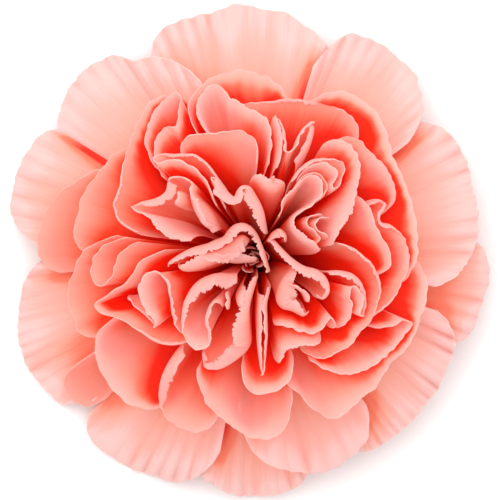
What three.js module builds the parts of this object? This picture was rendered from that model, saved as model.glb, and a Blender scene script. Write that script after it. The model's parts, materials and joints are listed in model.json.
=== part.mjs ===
// One cut carnation bloom, face up, standing on the cut under its calyx and on the tips of its drooping
// guard petals. Millimetres, +Z up, origin in the middle of the cut.
//
// Every petal is a thin sheet. Seen from above, its top edge follows a hand-laid crest line. From the
// crest the sheet runs down and in along a family of nested arcs that never cross, narrows into a claw
// and ends side by side with the other claws inside the calyx. Past the crest the edge may roll over to
// one side as a lip.
import * as THREE from "three";

// ---- driving dimensions ----
const BLOOM_RADIUS = 40; // where the guard petals reach the surface, from the flower's axis
const CROWN_HEIGHT = 47; // top of the petal dome above the surface
const SKIRT_HEIGHT = 0.15; // middle of the sheet at the lowest guard petal tips
const STALK_RADIUS = 2.2;
const STALK_LENGTH = 2.5; // what is left of the stalk under the calyx
const CALYX_LENGTH = 19.5; // from the calyx's foot to its mouth, without the teeth
const CALYX_RADIUS = 7.8; // outside, at the mouth
const CALYX_FOOT_RADIUS = 6.8; // outside, where the tube leaves its rounded foot
const CALYX_WALL = 0.7;
const MOUTH_SLACK = 1.5; // room between the calyx's mouth and the outermost claws
const TOOTH_LENGTH = 3.6;
const TOOTH_FLARE = 0.5; // how far a tooth leans out per mm of its length
const TEETH = 5;
const BRACT_LENGTH = 9;
const BRACT_SPAN = 76; // degrees round the calyx
const BRACT_THICKNESS = 0.5;
const BRACTS = 4;
const OVARY_RADIUS = 1.4;
const OVARY_LENGTH = 8;
const STYLE_RADIUS = 0.4;
const STYLE_LENGTH = 6;
const PETAL_THICKNESS = 0.2;
const CLAW_WIDTH = 0.6;
const CLEARANCE = 0.3; // gap between pieces that touch on the real flower

// ---- the layout's own size: the crest lines below are laid out for a bloom of this radius ----
const LAYOUT_RADIUS = 40;
const DOME_POWER = 3; // how late the dome falls away towards the rim
const DIMPLE_DEPTH = 4; // the middle of the bloom sits a little lower
const DIMPLE_RADIUS = 6;

const FOOT_Z = STALK_LENGTH;
const MOUTH_Z = FOOT_Z + CALYX_LENGTH;
const RECEPTACLE_HEIGHT = 2.6;
const CLAW_FOOT_Z = FOOT_Z + RECEPTACLE_HEIGHT + CLEARANCE;
const CLAW_RING_RADIUS = CALYX_RADIUS - CALYX_WALL - MOUTH_SLACK - CLAW_WIDTH / 2;
const CLAW_CORE_RADIUS = OVARY_RADIUS + CLEARANCE + CLAW_WIDTH / 2;
const CLAW_SPACING = CLAW_WIDTH + CLEARANCE;

const rad = THREE.MathUtils.degToRad;
const lerp = THREE.MathUtils.lerp;
const smooth = (x) => THREE.MathUtils.smoothstep(x, 0, 1);

// ---- the petals ----
// crest: x and y of each point of the top edge seen from above, in mm for LAYOUT_RADIUS.
// lip: how far the edge rolls over past the crest, in mm, evenly spread from the crest's start to its
//      end; positive is to the left of the way that the crest runs.
const PETALS = [
  {
    name: "guard_top",
    crest: [-19, 33, -16, 36.5, -12, 38.3, -8, 39.3, -3, 40.7, 1, 40.2, 4, 39.5, 8, 37.8, 11, 36.7, 13, 36.6],
  },
  {
    name: "guard_upper_right",
    crest: [10.5, 34.4, 13, 35.2, 15, 36, 18, 35.3, 21, 33.8, 24, 31.3, 26, 29, 27, 26, 27.8, 23, 28.2, 20.5],
  },
  {
    name: "guard_right",
    crest: [29, 24, 30.4, 21.3, 32.2, 19.2, 33.3, 17.3, 34.3, 15, 35, 12, 36.2, 6, 36, 3, 35.3, 0, 34, -3.5, 33, -6],
  },
  {
    name: "guard_right_low",
    crest: [37, 3.5, 37.5, 1, 37.9, -1.5, 37.9, -4, 37.4, -6.5, 36.9, -8, 35.8, -11, 34.6, -14, 33.4, -16.5],
  },
  {
    name: "guard_low_right",
    crest: [33.6, -10.5, 33, -14, 31.8, -17, 30, -21, 27.3, -25, 24, -28.5, 21, -31, 18, -33.3, 16, -34.6],
  },
  {
    name: "guard_fold_low",
    crest: [20.5, -28, 18, -31, 16, -32.6, 14, -34.2, 12, -35.1, 9, -35.6, 6, -35.3, 3, -34.5, 0, -32.9, -2, -31.2,
      -3.4, -30],
  },
  {
    name: "guard_bottom",
    crest: [10, -37, 7.5, -38, 5, -38.8, 3, -39.3, -2, -39.6, -5, -38.8, -8, -38, -10, -38.2],
  },
  {
    name: "guard_low_left",
    crest: [-6.5, -36.2, -8.5, -36.6, -11, -37, -14, -37.2, -17.3, -36, -20, -35.1, -23, -33.6, -25.2, -32.1,
      -27, -30.7, -28.4, -29.4, -29.6, -28.2],
  },
  {
    name: "guard_left_low",
    crest: [-29, -26.2, -30.3, -25.4, -32, -25, -34, -22.5, -36, -20.5, -37.3, -18.7, -38.2, -16, -38.7, -14,
      -39, -12, -38.5, -8, -38.3, -4, -38.3, -1],
  },
  {
    name: "guard_left",
    crest: [-36.9, 0, -38, 3, -39.6, 5.5, -40, 8, -39.6, 11, -38.7, 14, -37.2, 17, -35.9, 19.5, -34.9, 22],
  },
  {
    name: "guard_upper_left",
    crest: [-34.2, 20.6, -33, 23, -31.5, 25.5, -29.5, 28.5, -27, 30.8, -23.7, 32.3, -20, 31.6, -16.5, 32, -12, 31.3,
      -9, 30.4],
  },
  { name: "collar_low_left", crest: [-27, -26, -29, -24.6, -30.5, -23, -31.2, -21, -30.8, -19.5, -29.8, -18.3, -28.5, -17.3] },
  {
    name: "collar_left_outer",
    crest: [-36, -3.5, -35.8, 0, -35.3, 3, -34, 7, -31.5, 10, -30, 11.2, -28, 12.7, -26, 14.3, -24.8, 15.8],
  },
  {
    name: "collar_left_upper",
    crest: [-30.6, -0.5, -30, 2, -29.2, 5, -28, 9, -27, 11, -25.5, 13, -24.2, 14.5, -23.3, 16, -21.9, 18, -21.2, 19.5],
  },
  {
    name: "collar_left",
    crest: [-25.6, 3.3, -26.3, 2.6, -27.5, 1, -28.8, -1.2, -29.6, -3.3, -30.3, -6, -30.1, -9, -29.3, -10.8,
      -29.1, -12.7, -28, -14.3, -27.2, -15.4],
  },
  {
    name: "collar_left_fold",
    crest: [-23.8, 3, -25, 1.6, -25.9, 0, -26.4, -2, -26.3, -4, -25.2, -5.2, -23.9, -4.6, -22.9, -3, -22.5, -0.8,
      -22, 1, -21.6, 2.2],
  },
  {
    name: "shoulder_upper_left",
    crest: [-22, 3.6, -23.6, 5, -24.2, 7.5, -23.8, 9, -23, 10.4, -22.7, 12, -22.3, 14, -21.5, 16, -20.6, 18.4,
      -19.6, 20.8, -18.4, 23, -17.2, 24.6, -15.4, 26.1, -13.4, 27.1, -11.4, 27.7],
    lip: [-0.5, -1.4, -1.5, -0.8, -0.5, -0.3, 0, 0],
  },
  {
    name: "hairpin_upper_left",
    crest: [-19, 16.3, -18.6, 18.7, -17.2, 21.4, -16.2, 23, -15, 24.8, -13.3, 26, -12.2, 25.4, -12.2, 24, -12.4, 22.2,
      -13, 20.8, -14.4, 20.9, -15.6, 20, -16.6, 18.6, -17.6, 16.6, -18, 14.6],
    lip: [0, 0, 0, 0, 0, 0, 0, 0.3, 0.6, 0.6, 0.3],
  },
  {
    name: "crown_top",
    crest: [-10.2, 21.2, -11, 22.7, -11, 24, -10.3, 25.7, -9, 27, -7, 28.4, -4, 29.4, -2, 29.6, 1, 28.9, 4, 27.9,
      6.2, 27.6],
  },
  {
    name: "crown_top_fold",
    crest: [-7.6, 21.6, -8.6, 22.8, -8.7, 24, -8, 25.2, -6.9, 26, -5.8, 25.4, -5, 24.4, -3.6, 23.6, -2, 23, 0, 22.4,
      1.2, 21.3, 1.9, 19.8, 2.2, 18, 2.3, 16.2],
  },
  {
    name: "crown_top_lip",
    crest: [-4.2, 26.2, -2, 25.6, 0, 25.3, 3, 25.7, 5, 26, 8, 26, 10, 25.6, 13, 24.6, 16, 23, 17.8, 21.6, 18.8, 20],
    lip: [-0.2, -0.8, -1.3, -1.8, -2, -1.8, -1.3, -0.8, -0.3],
  },
  {
    name: "shoulder_upper_right",
    crest: [8.4, 27, 10, 27.3, 12.5, 27.2, 14, 26.7, 16, 25.8, 18, 24.3, 19.3, 23, 20.2, 21.5, 20.8, 20, 21.3, 18,
      22, 16, 22.9, 13.8, 24, 11, 24.8, 9, 25.3, 7, 25.8, 5, 26.1, 2, 26.2, -1, 25.9, -3.2, 25.3, -5.3, 24.7, -7],
  },
  {
    name: "crown_double_fold",
    crest: [3.3, 15.6, 3.5, 17.4, 3.4, 19.2, 2.9, 21, 2.6, 22.4, 3.8, 22.2, 4.8, 20.8, 5.1, 18.8, 5.3, 16.8, 6.1, 17.6,
      6.8, 19.6, 8, 21.4, 9.2, 22.2, 10, 21, 9.6, 19.4, 8.7, 17.7, 7.6, 16.4],
  },
  {
    name: "right_curl",
    crest: [18.9, 8, 19.5, 9.2, 20.5, 9.7, 21.5, 9.2, 22, 8, 21.2, 6.8, 20.6, 5.6, 22, 5.2, 23.2, 4.2, 24.1, 2.3,
      24.8, 0, 24.7, -3, 23.9, -5, 23.2, -7, 21.8, -9.3, 20.2, -11.4, 19.2, -12.4],
  },
  {
    name: "right_lip",
    crest: [13.8, 20.8, 15.4, 20, 17, 18.8, 18.2, 17.2, 19.4, 15.8, 20.6, 14.4, 21.8, 12.6, 22.6, 10.8, 23.2, 9,
      23.6, 7.4],
    lip: [-0.6, -0.8, -0.6, -0.3, -0.2, -0.2, -0.2],
  },
  {
    name: "right_long_fold",
    crest: [13, 1.6, 12.8, 3.6, 13.3, 5.8, 14, 8.5, 14.9, 10.8, 16.1, 13, 16, 15.2, 15, 17.2, 13.6, 18.8, 12.2, 20.2],
  },
  { name: "right_pale", crest: [16.9, 10.8, 17.4, 9, 18, 7.6, 18.9, 5.2, 20, 3, 21, 1.2, 21.6, -0.3, 22, -2.4, 21.9, -4] },
  {
    name: "nest_upper_right",
    crest: [5.8, 13.2, 7, 14.6, 8.4, 15.6, 10, 16.1, 12.2, 15.9, 14, 15.2, 14.6, 13.8, 13.9, 12, 13.3, 10.6,
      12.4, 10.2, 12, 11.2, 12.7, 12.8, 11.8, 14, 10.4, 14.5, 8.6, 14.1, 7.3, 13],
  },
  {
    name: "nest_slot",
    crest: [4.2, 7, 5, 9, 6, 10, 7, 11.2, 8.3, 12.3, 9.2, 12.3, 10.3, 11.2, 10.2, 10, 9.4, 8.8, 8.2, 7.8, 6.6, 6.6,
      5.6, 5.2, 5.8, 3.8, 7, 2.4, 9, 1.2, 10.8, 0.4],
  },
  {
    name: "cup_right",
    crest: [8.3, -17.9, 10, -18.1, 12, -17.7, 13.5, -16.4, 15, -15, 17, -12.7, 18.5, -11.3, 20.1, -8.5, 20.7, -5.5,
      20.2, -2.9, 19, -0.9, 18, 0.1, 16.5, 1.4, 14.5, 2.2],
    lip: [0.5, 0.9, 0.8, 0.4, 0.4, 0.9, 1.1, 1.2, 1.2, 1, 0.5],
  },
  {
    name: "cup_right_fold",
    crest: [12.8, -2.7, 14.5, -2.6, 16.8, -3.2, 18, -4.8, 18.5, -7, 18.2, -9, 17.2, -10.4, 16.4, -9.8, 16.8, -8,
      16.4, -6.2, 15.5, -5.4, 14.9, -6.4, 15.2, -8, 15, -10.5, 14.5, -12.4, 14.2, -13.6],
  },
  {
    name: "cup_right_inner",
    crest: [3.2, 2, 4.2, 0.9, 6, -0.7, 8, -1.9, 10.2, -2.5, 11.6, -3.6, 12.3, -5.2, 12.2, -6.8, 11.3, -8, 10.2, -8.1],
  },
  {
    name: "hood",
    crest: [5.6, -2.6, 4.4, -4, 3.6, -6, 3.4, -8, 4.2, -9.2, 5.8, -9.8, 7.4, -10.6, 8.8, -11],
    lip: [0.4, 1.2, 1.5, 1.4, 1.2, 1, 0.6],
  },
  {
    name: "low_right_fold",
    crest: [3, -12.2, 4, -11.2, 5.2, -11, 7, -11.8, 8.6, -12.4, 10.2, -12.2, 11.2, -11.2, 12, -10.3, 12.8, -11,
      13.1, -12.2, 13, -13.4],
    lip: [-0.3, -0.7, -0.7, -0.4, 0, 0, 0, 0],
  },
  {
    name: "low_lip",
    crest: [3.2, -19, 3.5, -16.8, 3.9, -15, 5.4, -13.9, 7.2, -13.6, 9.6, -14, 11.6, -14.4],
    lip: [-0.3, -1, -1.4, -1, -0.4],
  },
  {
    name: "low_wave",
    crest: [-2.6, -20.4, -1.6, -21.6, -0.4, -22.4, 1, -22.5, 2.6, -22.1, 3.7, -21.6, 4.8, -20.8, 6, -19.6, 6.8, -18.8],
  },
  {
    name: "low_outer",
    crest: [-10.8, -21.2, -9, -23, -6, -26, -3, -28.3, 0, -29.8, 3, -29.6, 5.4, -27.6, 6.6, -25.4],
  },
  {
    name: "low_pointed",
    crest: [0.5, -7.5, 0.3, -10, 0.2, -12, 0.3, -16, 1, -19.6, 1.6, -17, 1.9, -14, 1.9, -11, 1.9, -8.5, 2.3, -6.4],
  },
  {
    name: "low_right_wing",
    crest: [9.8, -19.4, 12, -19.4, 16, -19.2, 19, -17.8, 21.5, -15.8, 24, -13, 25, -11.2, 24.2, -10.8, 22.6, -11.8, 20.4, -13.5],
  },
  {
    name: "low_right_outer",
    crest: [4.8, -23, 7.3, -24, 9.5, -25.5, 13.3, -26.5, 15.3, -25, 17, -23.4, 19, -21.5, 21, -18.7, 24, -15.2, 26, -12,
      27.7, -7, 28.5, -4, 28.8, 0],
  },
  {
    name: "left_point",
    crest: [-16.3, 0.6, -17.6, 0, -19, -1.4, -19.8, -3.2, -21, -4.7, -23, -6, -24.5, -7, -26, -8.2, -24.5, -9.7,
      -21.5, -11.2, -20, -12.4, -18, -14.2, -16, -15.5, -14, -16.4, -12.5, -16.8],
    lip: [0, 0, 0, 0, 0, 0, 0.6, 1, 1.4, 1.7, 0.8],
  },
  {
    name: "left_zigzag",
    crest: [-23.9, -8, -21, -8.8, -19, -9.9, -17.4, -11, -16.3, -12, -15.9, -10.6, -16.9, -8.6, -17.6, -6.5,
      -17.7, -4.9, -17.2, -3.6, -16, -3.2, -15.2, -4.2, -14.7, -5.5, -14.3, -7.5, -14.2, -10.5, -13.6, -13, -12.4, -14.9],
  },
  {
    name: "middle_left",
    crest: [-16, -1.7, -14, -0.6, -12, 0.4, -10, 1.1, -8.3, 1.5, -7, 2, -5.4, 2.6, -4.4, 3.8, -3.2, 4.7, -2, 4.9,
      -0.6, 4.3, 0.4, 3, 0.9, 1.6, 1.4, 0.2, 1.9, -1.4],
  },
  {
    name: "middle_left_lip",
    crest: [-13.8, -1.9, -12.4, -2.8, -10.5, -2.8, -8, -2, -6, -1.3, -3, -1.5, -1.2, -1.4],
    lip: [0.4, 1.5, 1.8, 1.6, 1.3, 0.5],
  },
  {
    name: "cup_left",
    crest: [-4, -3.2, -7, -3.2, -9.6, -4.2, -11.4, -6, -12.5, -9.5, -12.2, -12.4, -11.2, -13.9, -9.6, -14.9,
      -8.2, -14.6, -8.1, -13, -8.6, -11.5, -8.4, -9.8, -7.8, -8.4, -6.8, -7.6, -5.8, -7.8, -5.3, -9],
    lip: [0.5, 1.5, 2.2, 2.2, 2, 1.2, 0.4, 0, 0, 0, 0, 0],
  },
  {
    name: "front_lip",
    crest: [0, -5.3, -0.8, -8, -0.9, -12, -0.9, -15.7, -3, -18.1, -7, -20, -9.5, -19.9, -10.4, -18.8],
    lip: [-0.6, -1.4, -2.4, -2.8, -2.4, -1.8, -0.8],
  },
  {
    name: "front_left_lip",
    crest: [-14.2, -17.6, -15.6, -19, -16.6, -22, -16.5, -24.8, -15, -26.8, -12.5, -28.4, -10, -29.4, -6.6, -29.8],
    lip: [1, 2, 1.8, 1.2, 0.6, 0.3, 0.2, 0.2],
  },
  {
    name: "front_left_large",
    crest: [-25.2, -11, -26.2, -12.7, -26, -15.2, -25.3, -18.3, -24, -21, -21, -23.8, -18, -26, -16.4, -27.6],
  },
  {
    name: "left_loop",
    crest: [-11, 2.6, -13, 3.5, -15, 5, -16.5, 6.2, -18.5, 6.9, -20.2, 7.5, -19, 8.8, -17, 9.6, -15.6, 10.6, -15.2, 12,
      -14.4, 12.9, -13, 12.9, -11, 12.3, -10, 11.2, -10, 10, -9.2, 9, -8.2, 8, -7.2, 6.4, -6.4, 4.6],
  },
  {
    name: "upper_left_lip",
    crest: [-6.6, 14.1, -7.9, 15.4, -9.8, 16.6, -12, 17, -14, 17, -15.9, 16.4, -16.6, 15.4, -16, 14.5, -14, 14.9,
      -11.2, 14.2, -9.3, 12.8, -8.2, 11.3, -7.2, 9.2, -6.6, 8],
    lip: [0.2, 0.6, 1.1, 1, 0.3, 0, 0, 0, 0, 0],
  },
  {
    name: "upper_left_arch",
    crest: [-14, 18.4, -12.6, 19, -11, 19.6, -8, 20, -5, 20.2, -3, 20.2, -1, 19.4, 0.4, 18, 0.6, 16.2, -0.4, 15,
      -1.5, 15.6, -2.6, 17.2, -4.4, 17.6, -5.5, 16.6, -5.6, 14.6],
  },
  {
    name: "upper_fold",
    crest: [-0.6, 13.2, 0.4, 11.8, 1.6, 10.6, 3, 10.2, 4.2, 11, 5, 12.2],
    lip: [0.4, 1.2, 1.5, 1.5, 1.2, 0.4],
  },
  {
    name: "middle_hairpin",
    crest: [-4.9, 7.6, -5.8, 9, -6.8, 11, -7.2, 12.4, -6.4, 12.7, -5.2, 11.6, -4.2, 10, -3.5, 9.4, -2.9, 10.6, -2, 11.4,
      -1, 11.3, 0.2, 9.6, 1.1, 7.5, 1.6, 5.4, 1.9, 3.9],
  },
];

// The folded groups of the crown: [x, y, reach]. Below their crests the sheets draw in towards these.
const FOLD_CENTRES = [
  [9, 11, 5],
  [-10, 11, 6],
  [-8, -9.5, 4.5],
  [13, -7, 5],
  [-2, 16, 4],
  [-21, -9, 4],
];
const FOLD_PULL = 0.45;

// ---- the nested arcs ----
const share = (radius) => Math.min(1, radius / LAYOUT_RADIUS);

function domeHeight(radius) {
  const fall = (CROWN_HEIGHT - SKIRT_HEIGHT) * share(radius) ** DOME_POWER;
  return CROWN_HEIGHT - fall - DIMPLE_DEPTH * Math.exp(-((radius / DIMPLE_RADIUS) ** 2));
}

// Where the petal whose crest is at this layout radius passes the calyx mouth.
const mouthRadius = (radius) => CLAW_RING_RADIUS * share(radius) ** 0.6;

// Distance from the axis and height at t from 0, the calyx mouth, to 1, the crest.
function arcPoint(radius, t) {
  const crest = new THREE.Vector2((radius * BLOOM_RADIUS) / LAYOUT_RADIUS, domeHeight(radius));
  const mouth = new THREE.Vector2(mouthRadius(radius), MOUTH_Z);
  const slope = rad(88 - 150 * share(radius) ** 1.6);
  const reach = crest.x - mouth.x;
  const run = 0.38 * reach + 2;
  const climb = 14;
  const rise = new THREE.Vector2(mouth.x + 0.04 * reach, mouth.y + climb);
  const turn = new THREE.Vector2(crest.x - run * Math.cos(slope), crest.y - run * Math.sin(slope));
  return new THREE.CubicBezierCurve(mouth, rise, turn, crest).getPoint(t);
}

// A layout point drawn in towards the folded groups, fully at the mouth and not at all at the crest.
function drawIn([x, y], t) {
  const pull = FOLD_PULL * smooth((1 - t) / 0.35);
  const moved = new THREE.Vector2(x, y);
  for (const [cx, cy, reach] of FOLD_CENTRES) {
    const weight = pull * Math.exp(-((x - cx) ** 2 + (y - cy) ** 2) / (2 * reach ** 2));
    moved.x -= (x - cx) * weight;
    moved.y -= (y - cy) * weight;
  }
  return moved;
}

// ---- one petal's sheet ----
const LEVELS = [0, 0.15, 0.42, 0.74]; // rows between the calyx mouth and the crest
const WIDTH_AT_MOUTH = 0.06;

// The crest as points, and the distance along it of each.
function crestLine(petal) {
  const points = [];
  for (let k = 0; k < petal.crest.length; k += 2) {
    points.push(new THREE.Vector2(petal.crest[k], petal.crest[k + 1]));
  }
  const along = [0];
  for (let k = 1; k < points.length; k++) {
    along.push(along[k - 1] + points[k].distanceTo(points[k - 1]));
  }
  return { points, along, length: along[along.length - 1] };
}

function crestPlace(line, u) {
  const at = u * line.length;
  const k = Math.max(1, line.along.findIndex((d) => d >= at - 1e-9));
  const part = (at - line.along[k - 1]) / (line.along[k] - line.along[k - 1]);
  return line.points[k - 1].clone().lerp(line.points[k], part);
}

// The lip's width at u from 0 to 1 along the crest.
function lipAt(lip, u) {
  const at = u * (lip.length - 1);
  const k = Math.min(Math.floor(at), lip.length - 2);
  return lerp(lip[k], lip[k + 1], at - k);
}

// A point of the sheet: crest place u, level t, moved over by the claw's shift near the mouth.
function sheetPoint(line, shift, u, t) {
  const width = lerp(WIDTH_AT_MOUTH, 1, Math.min(1, t * 1.3) ** 0.7);
  const place = crestPlace(line, 0.5 + (u - 0.5) * width);
  const drawn = drawIn([place.x, place.y], t);
  const radius = drawn.length();
  const at = arcPoint(radius, t);
  const fade = 1 - smooth(t / 0.5);
  drawn.multiplyScalar(at.x / radius).addScaledVector(shift, fade);
  return new THREE.Vector3(drawn.x, drawn.y, at.y);
}

// The rows of one column, from the claw's foot to the crest or the lip's edge.
function column(petal, line, shift, k) {
  const u = line.along[k] / line.length;
  const tip = 1 - 0.12 * Math.abs(2 * u - 1) ** 6;
  const rows = LEVELS.map((t) => sheetPoint(line, shift, u, t * tip));
  const gather = CALYX_FOOT_RADIUS / CALYX_RADIUS - 0.04;
  const foot = new THREE.Vector3(rows[0].x * gather, rows[0].y * gather, CLAW_FOOT_Z);
  const crest = sheetPoint(line, shift, u, tip);
  const column = [foot, ...rows, crest];
  if (petal.lip) {
    const last = line.points.length - 1;
    const along = line.points[Math.min(k + 1, last)].clone().sub(line.points[Math.max(k - 1, 0)]).normalize();
    const lip = lipAt(petal.lip, u);
    const roll = 0.25 + Math.abs(lip);
    column.push(new THREE.Vector3(crest.x - along.y * lip, crest.y + along.x * lip, crest.z + 0.25 * roll));
  }
  return column;
}

// A closed thin solid around a grid of points, each set off half the thickness to both sides.
function thinSolid(grid, thickness) {
  const columns = grid.length;
  const rows = grid[0].length;
  const normalAt = (i, j) => {
    const across = grid[Math.min(i + 1, columns - 1)][j].clone().sub(grid[Math.max(i - 1, 0)][j]);
    const up = grid[i][Math.min(j + 1, rows - 1)].clone().sub(grid[i][Math.max(j - 1, 0)]);
    return across.cross(up).normalize();
  };
  const positions = [];
  for (const side of [1, -1]) {
    for (let i = 0; i < columns; i++) {
      for (let j = 0; j < rows; j++) {
        const p = grid[i][j].clone().addScaledVector(normalAt(i, j), (side * thickness) / 2);
        positions.push(p.x, p.y, p.z);
      }
    }
  }
  const front = (i, j) => i * rows + j;
  const back = (i, j) => columns * rows + i * rows + j;
  const faces = [];
  const quad = (a, b, c, d) => faces.push(a, b, c, a, c, d);
  for (let i = 0; i + 1 < columns; i++) {
    for (let j = 0; j + 1 < rows; j++) {
      quad(front(i, j), front(i + 1, j), front(i + 1, j + 1), front(i, j + 1));
      quad(back(i, j), back(i, j + 1), back(i + 1, j + 1), back(i + 1, j));
    }
    quad(front(i, 0), back(i, 0), back(i + 1, 0), front(i + 1, 0));
    quad(front(i, rows - 1), front(i + 1, rows - 1), back(i + 1, rows - 1), back(i, rows - 1));
  }
  for (let j = 0; j + 1 < rows; j++) {
    quad(front(0, j), front(0, j + 1), back(0, j + 1), back(0, j));
    quad(front(columns - 1, j), back(columns - 1, j), back(columns - 1, j + 1), front(columns - 1, j + 1));
  }
  const geometry = new THREE.BufferGeometry();
  geometry.setAttribute("position", new THREE.Float32BufferAttribute(positions, 3));
  geometry.setIndex(faces);
  geometry.computeVertexNormals();
  return geometry;
}

// ---- the claws ----
// Each claw starts where its petal's middle passes the mouth. They are then pushed apart until none is
// nearer to another than CLAW_SPACING, between the ovary and the calyx wall. Gives each claw's shift.
function clawShifts(lines) {
  const wanted = lines.map((line) => {
    const middle = sheetPoint(line, new THREE.Vector2(), 0.5, 0);
    return new THREE.Vector2(middle.x, middle.y);
  });
  const places = wanted.map((p) => p.clone());
  for (let round = 0; round < 400; round++) {
    for (let i = 0; i < places.length; i++) {
      for (let j = i + 1; j < places.length; j++) {
        const gap = places[j].clone().sub(places[i]);
        const short = CLAW_SPACING - gap.length();
        if (short <= 0) continue;
        gap.setLength(short / 2);
        places[i].sub(gap);
        places[j].add(gap);
      }
    }
    for (const p of places) {
      p.setLength(THREE.MathUtils.clamp(p.length(), CLAW_CORE_RADIUS, CLAW_RING_RADIUS));
    }
  }
  return places.map((p, i) => p.clone().sub(wanted[i]));
}

// ---- the green parts and the pistil ----
const FOOT_ROUND = 2.4; // height of the calyx's rounded foot
const FLOOR_TOP_Z = FOOT_Z + RECEPTACLE_HEIGHT;

// A solid of revolution about Z from points [radius, z].
function turned(outline, segments) {
  const geometry = new THREE.LatheGeometry(outline.map(([r, z]) => new THREE.Vector2(r, z)), segments);
  return geometry.rotateX(Math.PI / 2);
}

// The calyx: a rounded foot and a slightly flared tube that ends in pointed teeth.
function calyxGeometry() {
  const sectors = TEETH * 8;
  const outline = (angle) => {
    const tooth = 1 - Math.abs((((angle / (2 * Math.PI)) * TEETH) % 1) * 2 - 1);
    const topZ = MOUTH_Z + TOOTH_LENGTH * tooth;
    const flare = CALYX_RADIUS + TOOTH_FLARE * (topZ - MOUTH_Z);
    const neck = STALK_RADIUS + CLEARANCE;
    return [
      [neck, FOOT_Z],
      [lerp(neck, CALYX_FOOT_RADIUS, 0.75), FOOT_Z + 0.25 * FOOT_ROUND],
      [CALYX_FOOT_RADIUS, FOOT_Z + FOOT_ROUND],
      [CALYX_RADIUS, MOUTH_Z],
      [flare, topZ + 0.01],
      [flare - CALYX_WALL, topZ + 0.01],
      [CALYX_RADIUS - CALYX_WALL, MOUTH_Z],
      [CALYX_FOOT_RADIUS - CALYX_WALL, FOOT_Z + FOOT_ROUND + 0.3],
      [lerp(neck, CALYX_FOOT_RADIUS - CALYX_WALL, 0.75), FOOT_Z + 0.25 * FOOT_ROUND + CALYX_WALL],
      [neck, FOOT_Z + CALYX_WALL],
    ];
  };
  const positions = [];
  const faces = [];
  const ring = outline(0).length;
  for (let i = 0; i < sectors; i++) {
    const angle = (2 * Math.PI * i) / sectors;
    for (const [r, z] of outline(angle)) positions.push(r * Math.cos(angle), r * Math.sin(angle), z);
  }
  for (let i = 0; i < sectors; i++) {
    const next = ((i + 1) % sectors) * ring;
    for (let j = 0; j < ring; j++) {
      const up = (j + 1) % ring;
      faces.push(i * ring + j, next + j, next + up, i * ring + j, next + up, i * ring + up);
    }
  }
  const geometry = new THREE.BufferGeometry();
  geometry.setAttribute("position", new THREE.Float32BufferAttribute(positions, 3));
  geometry.setIndex(faces);
  geometry.computeVertexNormals();
  return geometry;
}

// One of the pointed bracts that hug the calyx's foot, its middle at this angle.
function bractGeometry(angle) {
  const grid = [];
  const columns = 8;
  for (let i = 0; i <= columns; i++) {
    const across = (2 * i) / columns - 1;
    const rows = [];
    for (const h of [0, 0.25, 0.5, 0.75, 1]) {
      const half = rad(BRACT_SPAN / 2) * (1 - 0.92 * h ** 2.2);
      const z = FOOT_Z + FOOT_ROUND + BRACT_LENGTH * h;
      const tube = lerp(CALYX_FOOT_RADIUS, CALYX_RADIUS, (z - FOOT_Z - FOOT_ROUND) / (MOUTH_Z - FOOT_Z - FOOT_ROUND));
      const r = tube + CLEARANCE + BRACT_THICKNESS / 2;
      const a = angle + across * half;
      rows.push(new THREE.Vector3(r * Math.cos(a), r * Math.sin(a), z));
    }
    grid.push(rows);
  }
  return thinSolid(grid, BRACT_THICKNESS);
}

function receptacleGeometry() {
  const disc = CALYX_FOOT_RADIUS - CALYX_WALL - CLEARANCE - 0.6;
  return turned(
    [
      [0, 0],
      [STALK_RADIUS, 0],
      [STALK_RADIUS, FLOOR_TOP_Z - 1],
      [disc, FLOOR_TOP_Z - 0.7],
      [disc, FLOOR_TOP_Z],
      [0, FLOOR_TOP_Z],
    ],
    24,
  );
}

function pistilGeometry() {
  const foot = FLOOR_TOP_Z + CLEARANCE;
  return turned(
    [
      [0, foot],
      [OVARY_RADIUS * 0.7, foot],
      [OVARY_RADIUS, foot + OVARY_LENGTH * 0.4],
      [OVARY_RADIUS * 0.8, foot + OVARY_LENGTH * 0.85],
      [STYLE_RADIUS, foot + OVARY_LENGTH],
      [STYLE_RADIUS, foot + OVARY_LENGTH + STYLE_LENGTH],
      [0, foot + OVARY_LENGTH + STYLE_LENGTH],
    ],
    12,
  );
}

// ---- the bloom ----
const bloom = new THREE.Group();

function add(name, geometry, color, roughness) {
  const mesh = new THREE.Mesh(geometry, new THREE.MeshStandardMaterial({ color, roughness, metalness: 0 }));
  mesh.name = name;
  bloom.add(mesh);
}

add("receptacle", receptacleGeometry(), "#8a9a62", 0.7);
add("calyx", calyxGeometry(), "#6f8f58", 0.6);
for (let k = 0; k < BRACTS; k++) {
  add(`bract_${k + 1}`, bractGeometry(((k + 0.5) * 2 * Math.PI) / BRACTS), "#7d9a62", 0.6);
}
add("pistil", pistilGeometry(), "#e6e3bd", 0.6);

const lines = PETALS.map(crestLine);
const shifts = clawShifts(lines);
PETALS.forEach((petal, n) => {
  const grid = lines[n].points.map((_, k) => column(petal, lines[n], shifts[n], k));
  const pale = petal.name.startsWith("guard") ? "#f3c9bf" : "#f0937f";
  add(`petal_${petal.name}`, thinSolid(grid, PETAL_THICKNESS), pale, 0.65);
});

export default bloom;
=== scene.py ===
"""A cut carnation bloom, face up: fine ruffled petals, calyx, bracts, floor, light and camera."""

import json
import logging
import math
import zlib
from dataclasses import dataclass, field, replace
from enum import Enum

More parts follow.
